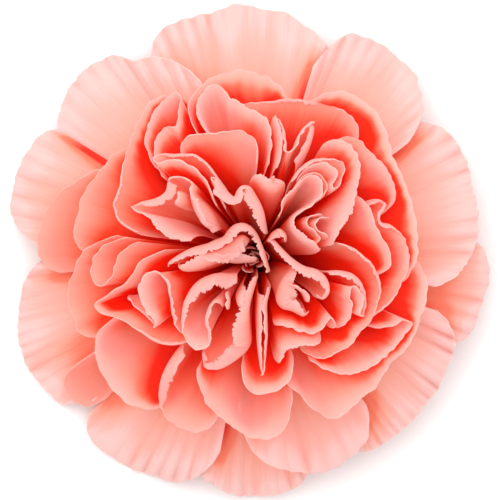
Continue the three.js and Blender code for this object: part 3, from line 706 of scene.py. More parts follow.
def sheet_mesh(name: str, right: Grid, left: Grid, facts: Facts, uv: Grid) -> bpy.types.Object:
    """A closed thin body from its two faces, joined along the edge, the foot and both sides. Each
    column of the right face runs up from foot to edge and goes on down the left face.

    Args:
        name: The object's name.
        right: Points in metres, columns by rows by 3, on the face right of the columns' order.
        left: The same for the other face.
        facts: Named values at the points of the right and the left face.
        uv: Two values, columns by rows by 2, for both faces.

    Returns:
        The object, linked to the scene.
    """
    columns, rows = right.shape[:2]
    ring = np.concatenate([right, left[:, ::-1]], axis=1)
    index = np.arange(columns * 2 * rows).reshape(columns, 2 * rows)
    up = np.roll(index, -1, axis=1)
    wall = np.stack([index[:-1], index[1:], up[1:], up[:-1]], axis=-1).reshape(-1, 4)
    near, far = index[:, : rows - 1], index[:, ::-1][:, : rows - 1]
    near_up, far_up = index[:, 1:rows], index[:, ::-1][:, 1:rows]
    start = np.stack([near[0], near_up[0], far_up[0], far[0]], axis=-1)
    end = np.stack([near[-1], far[-1], far_up[-1], near_up[-1]], axis=-1)
    quads = np.concatenate([wall, start, end])
    piece = new_piece(name, ring, quads)
    for key, (on_right, on_left) in facts.items():
        values = np.concatenate([on_right, on_left[:, ::-1]], axis=1)
        layer = piece.data.attributes.new(key, "FLOAT", "POINT")
        layer.data.foreach_set("value", values.astype(np.float32).ravel())
    both = np.concatenate([uv, uv[:, ::-1]], axis=1).reshape(-1, 2)
    layer = piece.data.uv_layers.new(name="UVMap")
    layer.data.foreach_set("uv", both[quads.ravel()].astype(np.float32).ravel())
    return piece


def both_faces(grid: Grid, thickness: float) -> tuple[Grid, Grid]:
    """A sheet's two faces, half a thickness to either side along the cross product of its two runs.

    Args:
        grid: The middle surface, columns by rows by 3.
        thickness: The wall.

    Returns:
        The face right of the columns' order, and the left one.
    """
    normal = unit(np.cross(np.gradient(grid, axis=0), np.gradient(grid, axis=1)))
    return grid + normal * thickness / 2.0, grid - normal * thickness / 2.0


class Wire:
    """A shader socket's value, with arithmetic that adds the nodes it needs."""

    def __init__(self, tree: bpy.types.NodeTree, socket: bpy.types.NodeSocket) -> None:
        """Keeps the socket.

        Args:
            tree: The node tree.
            socket: The output that carries the value.
        """
        self.tree = tree
        self.socket = socket

    def _math(self, operation: str, *values: "Wire | float") -> "Wire":
        """A Math node.

        Args:
            operation: What the node does.
            values: Its inputs in order.

        Returns:
            Its result.
        """
        node = self.tree.nodes.new("ShaderNodeMath")
        node.operation = operation
        for socket, value in zip(node.inputs, values):
            feed(self.tree, socket, value)
        return Wire(self.tree, node.outputs[0])

    def __add__(self, other: "Wire | float") -> "Wire":
        """self + other."""
        return self._math("ADD", self, other)

    def __mul__(self, other: "Wire | float") -> "Wire":
        """self times other."""
        return self._math("MULTIPLY", self, other)

    __rmul__ = __mul__

    def __sub__(self, other: "Wire | float") -> "Wire":
        """self - other."""
        return self._math("SUBTRACT", self, other)

    def __rsub__(self, other: float) -> "Wire":
        """other - self."""
        return self._math("SUBTRACT", other, self)

    def ramp(self, low: float, high: float) -> "Wire":
        """A smooth step from 0 at low to 1 at high.

        Args:
            low: Where the step is 0.
            high: Where it is 1; it may be below low.

        Returns:
            The step.
        """
        flip = low > high
        node = self.tree.nodes.new("ShaderNodeMapRange")
        node.interpolation_type = "SMOOTHSTEP"
        feed(self.tree, node.inputs["Value"], self)
        feed(self.tree, node.inputs["From Min"], min(low, high))
        feed(self.tree, node.inputs["From Max"], max(low, high))
        feed(self.tree, node.inputs["To Min"], 1.0 if flip else 0.0)
        feed(self.tree, node.inputs["To Max"], 0.0 if flip else 1.0)
        return Wire(self.tree, node.outputs["Result"])


def feed(tree: bpy.types.NodeTree, socket: bpy.types.NodeSocket, value: object) -> None:
    """Links a wire to a socket, or sets the socket to a value.

    Args:
        tree: The node tree.
        socket: The input.
        value: A wire, number, colour or vector.
    """
    if isinstance(value, Wire):
        tree.links.new(value.socket, socket)
    else:
        socket.default_value = value


def srgb(red: float, green: float, blue: float) -> tuple[float, float, float, float]:
    """A display colour as the linear colour that shaders use."""
    linear = [c / 12.92 if c <= 0.04045 else ((c + 0.055) / 1.055) ** 2.4 for c in (red, green, blue)]
    return (linear[0], linear[1], linear[2], 1.0)


class Paint:
    """A material under construction."""

    def __init__(self, name: str) -> None:
        """Starts an empty material.

        Args:
            name: The material's name.
        """
        self.material = bpy.data.materials.new(name)
        self.material.use_nodes = True
        self.tree = self.material.node_tree
        self.tree.nodes.clear()

    def node(
        self, kind: str, settings: dict[str, object] | None = None, inputs: dict[str, object] | None = None
    ) -> bpy.types.Node:
        """A node with its settings made first and then its sockets fed.

        Args:
            kind: The node's type.
            settings: Properties of the node.
            inputs: Socket names to values or wires.

        Returns:
            The node.
        """
        node = self.tree.nodes.new(kind)
        for key, value in (settings or {}).items():
            setattr(node, key, value)
        for key, value in (inputs or {}).items():
            feed(self.tree, node.inputs[key], value)
        return node

    def out(self, node: bpy.types.Node, name: str) -> Wire:
        """One of a node's outputs as a wire."""
        return Wire(self.tree, node.outputs[name])

    def fact(self, name: str) -> Wire:
        """The value of a named attribute of the mesh."""
        return self.out(self.node("ShaderNodeAttribute", {"attribute_name": name}), "Fac")

    def noise(self, vector: Wire, scale: float, detail: float = 3.0, rough: float = 0.5) -> Wire:
        """Noise between 0 and 1 over a vector."""
        sockets = {"Vector": vector, "Scale": scale, "Detail": detail, "Roughness": rough}
        return self.out(self.node("ShaderNodeTexNoise", None, sockets), "Fac")

    def place(self) -> Wire:
        """Object coordinates."""
        return self.out(self.node("ShaderNodeTexCoord"), "Object")

    def stretched(self, vector: Wire, scale: tuple[float, float, float]) -> Wire:
        """A vector scaled by a different amount along each axis."""
        node = self.node("ShaderNodeMapping", None, {"Vector": vector, "Scale": scale})
        return self.out(node, "Vector")

    def mix(self, share: Wire | float, first: object, second: object) -> Wire:
        """One colour turning into another.

        Args:
            share: How much of the second colour, from 0 to 1.
            first: The colour at 0.
            second: The colour at 1.

        Returns:
            The mixed colour.
        """
        node = self.tree.nodes.new("ShaderNodeMix")
        node.data_type = "RGBA"
        feed(self.tree, node.inputs[0], share)
        feed(self.tree, node.inputs[6], first)
        feed(self.tree, node.inputs[7], second)
        return Wire(self.tree, node.outputs[2])

    def bumped(self, height: Wire, strength: float, distance: float) -> Wire:
        """A normal from a height."""
        sockets = {"Height": height, "Strength": strength, "Distance": distance}
        return self.out(self.node("ShaderNodeBump", None, sockets), "Normal")

    def blend(
        self, share: Wire | float, first: bpy.types.Node, second: bpy.types.Node
    ) -> bpy.types.Node:
        """A mix of two shaders.

        Args:
            share: How much of the second shader, from 0 to 1.
            first: The shader at 0.
            second: The shader at 1.

        Returns:
            The node of the mix.
        """
        mixer = self.node("ShaderNodeMixShader", None, {0: share})
        self.tree.links.new(first.outputs[0], mixer.inputs[1])
        self.tree.links.new(second.outputs[0], mixer.inputs[2])
        return mixer

    def close(self, shader: bpy.types.Node) -> bpy.types.Material:
        """Connects the last shader to the output.

        Args:
            shader: The node whose first output is the surface.

        Returns:
            The finished material.
        """
        output = self.tree.nodes.new("ShaderNodeOutputMaterial")
        self.tree.links.new(shader.outputs[0], output.inputs["Surface"])
        return self.material


@dataclass(frozen=True)
class PetalFinish:
    """Petal tissue with painted shade: a light line along the cut edge, pale where the petal is open
    to the light, and painted shade that grows more and more saturated towards the bottom of each
    fold. Light passes through it, and the colour of that light is painted paler where it is open
    and deeper in the folds."""

    name: str
    edge: Colour
    open: Colour
    blade: Colour
    warm: Colour
    fold: Colour
    deepest_shade: Colour
    glow: float = 0.35
    streaks: float = 0.12
    # The stops set where the painted shade passes from one colour to the next, the through stop does the
    # same for the light let through, and the edge fade sets where the edge line gives way to painted
    # shade.
    stops: tuple[Pair, ...] = ((0.0, 0.65), (0.55, 1.3), (1.05, 1.95), (1.95, 5.0))
    through_stop: Pair = (0.4, 1.9)
    edge_width: Pair = (0.16, 0.04)
    edge_fade: Pair = (0.3, 1.2)
    edge_strength: float = 0.8
    vein_stretch: tuple[float, float, float] = (2.4, 0.1, 1.0)
    patch_scale: float = 140.0
    patchiness: float = 0.3
    tinting: float = 0.08
    grain_scale: float = 2600.0
    roughness: float = 0.6
    specular: float = 0.3
    bump: float = 0.25
    bump_height: float = 0.0002

    def build(self) -> bpy.types.Material:
        """The material, from the mesh values shade (painted shade), edge_gap and tint, and the UV map in
        mm.

        Returns:
            The finished material.
        """
        paint = Paint(self.name)
        gap, shade, tint = (paint.fact(k) for k in ("edge_gap", "shade", "tint"))
        uv = paint.out(paint.node("ShaderNodeTexCoord"), "UV")
        vein = paint.noise(paint.stretched(uv, self.vein_stretch), 1.0, 4.0, 0.6)
        patch = paint.noise(paint.place(), self.patch_scale)
        # Painted shade level: the mesh's shade, with vein streaks, random patches and the petal's own tint
        # added.
        level = shade + (vein - 0.5) * self.streaks * 2.0
        level = level + (patch - 0.5) * self.patchiness + tint * self.tinting
        # Painted shade: the open colour where a face is lit, then blade, warm, fold and the deepest colour
        # towards the bottom of each fold and crevice.
        colour = srgb(*self.open)
        for stop, hue in zip(self.stops, (self.blade, self.warm, self.fold, self.deepest_shade)):
            colour = paint.mix(level.ramp(*stop), colour, srgb(*hue))
        # The light edge line fades out where the painted shade is deep.
        fade = self.edge_strength - self.edge_strength * shade.ramp(*self.edge_fade)
        line = (gap + (patch - 0.5) * 0.12).ramp(*self.edge_width) * fade
        colour = paint.mix(line, colour, srgb(*self.edge))
        grain = paint.noise(paint.place(), self.grain_scale, 2.0)
        sockets = {
            "Base Color": colour,
            "Roughness": self.roughness,
            "Normal": paint.bumped(vein * 0.7 + grain * 0.3, self.bump, self.bump_height),
            "Specular IOR Level": self.specular,
        }
        solid = paint.node("ShaderNodeBsdfPrincipled", None, sockets)
        # The light let through is painted too: the blade colour where the face is open, and the fold
        # colour deep in the painted shade.
        pale, deep = (
            paint.node("ShaderNodeBsdfTranslucent", None, {"Color": srgb(*hue)})
            for hue in (self.blade, self.fold)
        )
        through = paint.blend(level.ramp(*self.through_stop), pale, deep)
        return paint.close(paint.blend(self.glow, solid, through))


@dataclass(frozen=True)
class GreenFinish:
    """Waxy green plant tissue with fine lengthwise ribs and a paler bloom of wax."""

    name: str
    base: Colour
    pale: Colour
    rough: float
    rib_stretch: tuple[float, float, float] = (900.0, 900.0, 60.0)
    wax_scale: float = 180.0
    wax_ramp: Pair = (0.35, 0.7)
    bump: float = 0.4
    bump_height: float = 0.0003

    def build(self) -> bpy.types.Material:
        """The material, from object coordinates.

        Returns:
            The finished material.
        """
        paint = Paint(self.name)
        place = paint.place()
        ribs = paint.noise(paint.stretched(place, self.rib_stretch), 1.0)
        wax = paint.noise(place, self.wax_scale, 4.0)
        paler = (ribs * 0.6 + wax * 0.4).ramp(*self.wax_ramp)
        colour = paint.mix(paler, srgb(*self.base), srgb(*self.pale))
        sockets = {
            "Base Color": colour,
            "Roughness": wax * 0.2 + self.rough,
            "Normal": paint.bumped(ribs, self.bump, self.bump_height),
        }
        return paint.close(paint.node("ShaderNodeBsdfPrincipled", None, sockets))


@dataclass(frozen=True)
class Wave:
    """An uneven wave along a crest that grows in over some levels. Height and length in mm."""

    height: float
    length: float
    draw: int
    foot: float
    climb: float

    def rise(self, level: Grid) -> Grid:
        """How far the wave has grown in at each level, from 0 to 1."""
        return smooth((level - self.foot) / self.climb)

    def over(self, s: Grid, level: Grid, seed: int) -> Grid:
        """The wave by column and level: a ripple along the crest times its rise."""
        return self.height * ripple(s, self.length, seed + self.draw)[:, None] * self.rise(level)


@dataclass
class Petal:
    """One petal: a fine closed sheet over its plan, its edge rolled over into the room beside it,
    toothed and ruffled. Sizes in mm."""

    plan: PetalPlan
    form: BloomForm
    shift: Grid
    crest: Crest
    number: int = 0
    column_step: float = 0.17
    fewest_columns: int = 24
    arc_rows: int = 20
    bend_rows: int = 12
    thickness: float = 0.16
    bend_start: float = 0.88
    mouth_width: float = 0.2
    widening: float = 2.6
    widening_power: float = 0.7
    tooth_depth: float = 0.32
    tooth_pitch: float = 0.65
    notch_depth: float = 0.35
    outer_notch_depth: float = 0.9
    lip_uneven: float = 0.12
    edge_roll: float = 0.13
    lip_rise: float = 0.15
    lip_fall: float = 0.35
    sways: tuple[Wave, ...] = (Wave(0.1, 2.0, 7, 0.75, 0.25), Wave(0.08, 7.0, 8, 0.3, 0.6))
    pleat: Wave = Wave(1.0, 9.0, 9, 0.3, 0.5)
    crease: Wave = Wave(1.0, 5.0, 10, 0.4, 0.5)
    crimp: Wave = Wave(1.0, 1.5, 11, 0.55, 0.4)
    lifts: tuple[float, float, float] = (0.7, 1.3, 0.12)
    # Painted light and shade on the pleats of an outer petal: how much paler each kind of ridge is
    # painted.
    pleat_light_weights: tuple[float, float, float] = (0.4, 0.45, 0.12)
    overlap_up: float = 0.5
    overlap_down: float = -0.3
    # From here on: how the painted shade of the faces deepens into folds and crevices, and the painted
    # shadow under a lip.
    showing: float = 0.75
    deepening: float = 0.28
    lit_depth: float = 0.4
    wide: float = 3.0
    crevice: float = 0.85
    collar_share: float = 0.3
    lip_shadow_strength: float = 0.8
    full_lip: float = 1.5

    @property
    def outer(self) -> bool:
        """Whether this is one of the pale outermost petals."""
        return self.plan.kind is PetalKind.GUARD

    def lips(self, u: Grid) -> Grid:
        """The lip's width: the plan's, with a small uneven roll of its own.

        Args:
            u: Shares of the crest.

        Returns:
            Widths in mm, positive to the left of the crest's run.
        """
        own = ripple(u * self.crest.length, 6.0, self.plan.seed + 5)
        plan = np.array(self.plan.lip or (0.0, 0.0), float)
        wanted = np.interp(u, np.linspace(0.0, 1.0, len(plan)), plan)
        return wanted * (1.0 + self.lip_uneven * own) + self.edge_roll * own

    def sheet(self, u: Grid, t: Grid) -> Grid:
        """Points of the sheet below the bend: the crest's place narrowed towards the petal's middle,
        drawn in towards its group, and carried down the arc of its radius to level t.

        Args:
            u: Shares of the crest, any shape.
            t: Levels, of the same shape.

        Returns:
            Points in mm.
        """
        widened = np.minimum(1.0, t * self.widening) ** self.widening_power
        width = self.mouth_width + (1.0 - self.mouth_width) * widened
        place = self.crest.at((0.5 + (u - 0.5) * width) * self.crest.length)
        drawn = self.form.draw_in(place, t)
        radius = np.linalg.norm(drawn, axis=-1)
        away, z = self.form.arc(radius, t)
        fade = 1.0 - smooth(t / 0.5)
        xy = drawn * (away / radius)[..., None] + self.shift * fade[..., None]
        return np.concatenate([xy, z[..., None]], axis=-1)

    def teeth(self, s: Grid) -> Grid:
        """How far the edge is cut back: uneven saw teeth, with a deeper notch here and there.

        Args:
            s: Distances along the crest.

        Returns:
            Depths in mm.
        """
        seed = self.plan.seed
        phase = s / self.tooth_pitch + 0.6 * ripple(s, 3.0, seed + 1)
        saw = np.abs((phase % 1.0) * 2.0 - 1.0)
        uneven = 0.15 + 0.85 * np.abs(ripple(s, 2.1, seed + 3))
        notch = smooth((ripple(s, 6.0, seed + 2) - 0.8) / 0.4)
        deepest = self.outer_notch_depth if self.outer else self.notch_depth
        return (self.tooth_depth * uneven + deepest * notch) * saw

    def bent(self, u: Grid, s: Grid, side: Grid, lip: Grid) -> tuple[Grid, Grid]:
        """The sheet before it is ruffled: the claw's foot, the arc, and above them a lip bent over
        as a quadratic Bezier curve from the arc's end by the crest to the toothed edge.

        Args:
            u: Shares of the crest by column.
            s: The same in mm.
            side: Sideways direction by column.
            lip: The lip's width by column.

        Returns:
            The sheet, columns by rows by 3, and the crest that it bends at.
        """
        tip = 1.0 - 0.12 * np.abs(2.0 * u - 1.0) ** 6
        levels = np.linspace(0.0, 1.0, self.arc_rows)[None, :] ** 0.8 * (self.bend_start * tip)[:, None]
        arc = self.sheet(np.broadcast_to(u[:, None], levels.shape), levels)
        foot = arc[:, :1].copy()
        foot[..., :2] *= self.form.claw_gather
        foot[..., 2] = self.form.claw_foot_z
        crest = self.sheet(u, tip)
        edge = crest.copy()
        edge[:, :2] += side * lip[:, None]
        droop = self.lip_fall * smooth(0.5 + ripple(s, 9.0, self.plan.seed + 6))
        edge[:, 2] += self.lip_rise + (self.lip_rise - droop) * np.abs(lip)
        below = arc[:, -1]
        span = np.linalg.norm(edge - below, axis=1)
        uncut = 1.0 - self.teeth(s) / np.maximum(span, 1.0)
        q = (np.linspace(0.0, 1.0, self.bend_rows + 1)[None, 1:] * uncut[:, None])[..., None]
        bend = (1 - q) ** 2 * below[:, None] + 2 * q * (1 - q) * crest[:, None] + q**2 * edge[:, None]
        return np.concatenate([foot, arc, bend], axis=1), crest

    def ruffled(self, grid: Grid, s: Grid, side: Grid) -> tuple[Grid, Grid]:
        """Moves the upper part of the sheet from side to side, and an outer petal's blade up and
        down in pleats, creases and crimps that fan out to its edge.

        Args:
            grid: The sheet.
            s: Distance along the crest by column.
            side: Sideways direction by column.

        Returns:
            The sheet with its ruffles, and the painted light and shade that make its ridges paler and its
            hollows darker.
        """
        seed = self.plan.seed
        level = np.linspace(0.0, 1.0, grid.shape[1])[None, :]
        sway = sum(wave.over(s, level, seed) for wave in self.sways)
        grid = grid.copy()
        pleat_light = np.zeros_like(sway)
        if self.outer:
            pleat = self.pleat.over(s, level, seed)
            crease = np.abs(self.crease.over(s, level, seed))
            crimp = self.crimp.over(s, level, seed)
            broad, sharp, fine = self.lifts
            grid[..., 2] += broad * (pleat + self.pleat.rise(level)) + sharp * crease + fine * crimp
            overlap = self.overlap_up if self.number % 2 else self.overlap_down
            grid[..., 2] += overlap * smooth((level - 0.2) / 0.3) * (1.0 - smooth((level - 0.8) / 0.2))
            # Painted light and shade: ridges of the pleats, creases and crimps painted paler, hollows
            # darker.
            broad, sharp, fine = self.pleat_light_weights
            pleat_light = broad * pleat + sharp * crease + fine * crimp
        grid[..., :2] += side[:, None] * sway[..., None]
        return grid, pleat_light

    def depths(self, aside: Grid, fall: Grid, room: Grid, lip: Grid) -> Grid:
        """The painted shade's depth of each point of a face: its distance sideways from the edge, and a
        share of its depth below the crest, over the breadth that shows. It is 0 at the edge and about 1
        where the next petal hides it. The painted shade grows less in a wide open bowl, which light
        fills, and more in a tight crevice.

        Args:
            aside: Distances sideways from the edge.
            fall: Depths below the crest.
            room: The room beside the crest by column.
            lip: The lip's width by column.

        Returns:
            The depths, columns by rows.
        """
        shown = 1.0 if self.outer else self.showing
        breadth = (room * shown + np.abs(lip))[:, None]
        depth = (aside + self.deepening * fall) / breadth
        if self.outer:
            return depth
        tight = np.exp(-((breadth / self.wide) ** 2))
        crevice = self.crevice if self.plan.kind is PetalKind.CROWN else self.collar_share * self.crevice
        return depth * (0.7 + 0.3 * tight) + crevice * tight * smooth((depth - 0.35) / 0.6)

    def surface(self, crest_map: CrestMap) -> tuple[Grid, Facts, Grid]:
        """The whole sheet with its values. A face's shade is painted shade: its depth, less a painted
        highlight on a ridge, and more a painted shadow under a lip.

        Args:
            crest_map: Measures the room beside the crest.

        Returns:
            Points in mm, values on the right and left faces, and UVs in mm.
        """
        count = max(self.fewest_columns, int(self.crest.length / self.column_step))
        u = np.linspace(0.0, 1.0, count)
        s = u * self.crest.length
        at, side = self.crest.at(s), self.crest.side(s)
        lip = self.lips(u)
        sheet, crest = self.bent(u, s, side, lip)
        grid, pleat_light = self.ruffled(sheet, s, side)
        steps = np.linalg.norm(np.diff(grid, axis=1), axis=2)
        run = np.concatenate([np.zeros((count, 1)), np.cumsum(steps, axis=1)], axis=1)
        gap = run[:, -1:] - run
        fall = np.maximum(0.0, crest[:, None, 2] - grid[..., 2] - self.lit_depth)
        aside = np.abs(((grid[..., :2] - grid[:, -1:, :2]) * side[:, None]).sum(-1))
        # Painted shadow under a lip: the face on the lip's side is painted darker, the more so the wider
        # the lip.
        under = smooth(np.abs(lip) / self.full_lip)[:, None] * self.lip_shadow_strength
        shades = []
        for turn in (-1.0, 1.0):
            room = evened(crest_map.room(self.number, s, at, side * turn), 8)
            depth = self.depths(aside, fall, room, lip)
            # Painted shade: the depth, less the painted light on the pleats, plus the painted shadow under
            # a lip.
            shades.append(depth - pleat_light + under * (turn * lip[:, None] > 0.0))
        tint = np.full_like(gap, np.random.default_rng(self.plan.seed).uniform(-1.0, 1.0))
        facts = {"edge_gap": (gap, gap), "shade": (shades[0], shades[1]), "tint": (tint, tint)}
        uv = np.stack([np.broadcast_to(s[:, None], gap.shape), gap], axis=-1)
        return grid, facts, uv

    def build(self, crest_map: CrestMap, finish: bpy.types.Material) -> bpy.types.Object:
        """Makes the petal.

        Args:
            crest_map: Measures the room beside the crest.
            finish: The petal's material.

        Returns:
            The finished piece.
        """
        grid, facts, uv = self.surface(crest_map)
        right, left = both_faces(grid, self.thickness)
        piece = sheet_mesh(f"visual_{self.plan.name}", right * MM, left * MM, facts, uv)
        piece.data.materials.append(finish)
        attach(piece, "root")
        if self.number != PETALOID:
            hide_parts(self.plan.node)
        return piece


@dataclass
class Crown:
    """All the petals, with their claws pushed apart inside the calyx. Sizes in mm."""

    form: BloomForm = field(default_factory=BloomForm)
    claw_rounds: int = 400
    claw_push: float = 0.35
    heart_radius: float = 9.0
    heart_growth: float = 0.45
    heart_most: float = 2.5
    heart_cone: float = 0.5
    heart_lower: float = 4.5
    heart_count: int = 10
    heart_turn: float = 137.5
    heart_span: float = 2.8
    heart_start: float = 0.5
    heart_step: float = 0.22
    heart_wave: float = 0.25
    heart_at: Pair = (-0.4, -0.8)

    @property
    def heart_form(self) -> BloomForm:
        """The arcs of the petaloids, which stay a little lower than the petals."""
        return replace(self.form, crown=self.form.crown - self.heart_lower)

    def crests(self) -> list[Crest]:
        """Every crest, with the ends near the axis grown into the free room ahead of them, so that
        the heart closes.

        Returns:
            One crest for each plan.
        """
        points = [list(plan.crest) for plan in PLANS]
        crests = [Crest(tuple(p)) for p in points]
        for k, own in enumerate(points):
            for end in (0, -1):
                tip = np.array(own[end], float)
                if np.linalg.norm(tip) > self.heart_radius:
                    continue
                inner = np.array(own[1 if end == 0 else -2], float)
                way = unit(tip - inner)
                s = np.array([0.0 if end == 0 else crests[k].length])
                room = CrestMap(crests).room(k, s, tip[None], way[None], self.heart_cone)[0]
                grown = tuple(tip + way * min(self.heart_most, room * self.heart_growth))
                own.insert(0 if end == 0 else len(own), grown)
                crests[k] = Crest(tuple(own))
        return crests

    def claw_shifts(self, crests: list[Crest]) -> Grid:
        """How far each claw is moved: pairs nearer than the spacing part evenly, round after round.

        Args:
            crests: Every crest.

        Returns:
            One shift per petal, in mm.
        """
        middle, mouth = np.array([0.5]), np.array([0.0])
        petals = [Petal(plan, self.form, np.zeros(2), crest) for plan, crest in zip(PLANS, crests)]
        wanted = np.array([petal.sheet(middle, mouth)[0, :2] for petal in petals])
        places = wanted.copy()
        not_itself = np.eye(len(places)) * 10.0 * self.form.claw_spacing
        for _ in range(self.claw_rounds):
            gap = places[None] - places[:, None]
            far = np.linalg.norm(gap, axis=-1) + not_itself
            push = np.maximum(0.0, self.form.claw_spacing - far) / far
            places -= self.claw_push * (gap * push[..., None]).sum(axis=1)
            size = np.linalg.norm(places, axis=1, keepdims=True)
            places *= np.clip(size, self.form.claw_core, self.form.claw_ring) / size
        return places - wanted

    def heart_crest(self, k: int) -> Crest:
        """The crest of the k-th petaloid of the heart: a short arc about the axis, each turned by
        the golden angle from the one before and a little further out. Its radius waves three times
        round the circle.

        Args:
            k: Counts from 0.

        Returns:
            The crest.
        """
        span = self.heart_span / (0.7 + 0.3 * k)
        angle = np.radians(self.heart_turn * k) + np.linspace(-0.5, 0.5, 5) * span
        r = self.heart_start + self.heart_step * k + self.heart_wave * np.cos(3.0 * angle)
        x, y = self.heart_at
        return Crest(tuple(zip(x + r * np.cos(angle), y + r * np.sin(angle))))

    def build(self) -> None:
        """Makes every petal, and the small petaloids between the folds and in the heart."""
        finishes = {kind: finish.build() for kind, finish in PETAL_FINISHES.items()}
        crests = self.crests()
        crest_map = CrestMap(crests)
        for number, (plan, crest, shift) in enumerate(zip(PLANS, crests, self.claw_shifts(crests))):
            petal = Petal(plan, self.form, shift, crest, number)
            piece = petal.build(crest_map, finishes[plan.kind])
            log.info("petal %s: %d points", piece.name, len(piece.data.vertices))
        petaloids = [(plan, Crest(plan.crest)) for plan in PETALOIDS]
        for k in range(self.heart_count):
            petaloids.append((PetalPlan(f"heart_{k + 1}", ()), self.heart_crest(k)))
        for plan, crest in petaloids:
            form = self.form if plan.crest else self.heart_form
            petal = Petal(plan, form, np.zeros(2), crest, PETALOID)
            piece = petal.build(crest_map, finishes[PetalKind.CROWN])
            log.info("petaloid %s: %d points", piece.name, len(piece.data.vertices))


# In each finish, the colours after the edge are painted shade: the open colour where a face is lit, then
# deeper and more saturated towards the bottom of each fold and crevice.
PETAL_FINISHES = {
    PetalKind.GUARD: PetalFinish(
        "guard_petal_tissue",
        edge=(1.0, 0.93, 0.9),
        open=(0.98, 0.85, 0.83),
        blade=(1.0, 0.77, 0.72),
        warm=(1.0, 0.72, 0.64),
        fold=(1.0, 0.56, 0.44),
        deepest_shade=(0.95, 0.15, 0.08),
        streaks=0.4,
    ),
    PetalKind.COLLAR: PetalFinish(
        "collar_petal_tissue",
        edge=(1.0, 0.9, 0.86),
        open=(1.0, 0.78, 0.72),
        blade=(1.0, 0.69, 0.61),
        warm=(1.0, 0.57, 0.44),
        fold=(0.99, 0.33, 0.17),
        deepest_shade=(0.9, 0.06, 0.02),
        glow=0.5,
        streaks=0.2,
    ),
    PetalKind.CROWN: PetalFinish(
        "crown_petal_tissue",
        edge=(1.0, 0.96, 0.95),
        open=(1.0, 0.9, 0.88),
        blade=(1.0, 0.79, 0.73),
        warm=(1.0, 0.6, 0.47),
        fold=(0.99, 0.22, 0.08),
        deepest_shade=(0.85, 0.02, 0.01),
        glow=0.62,
    ),
}


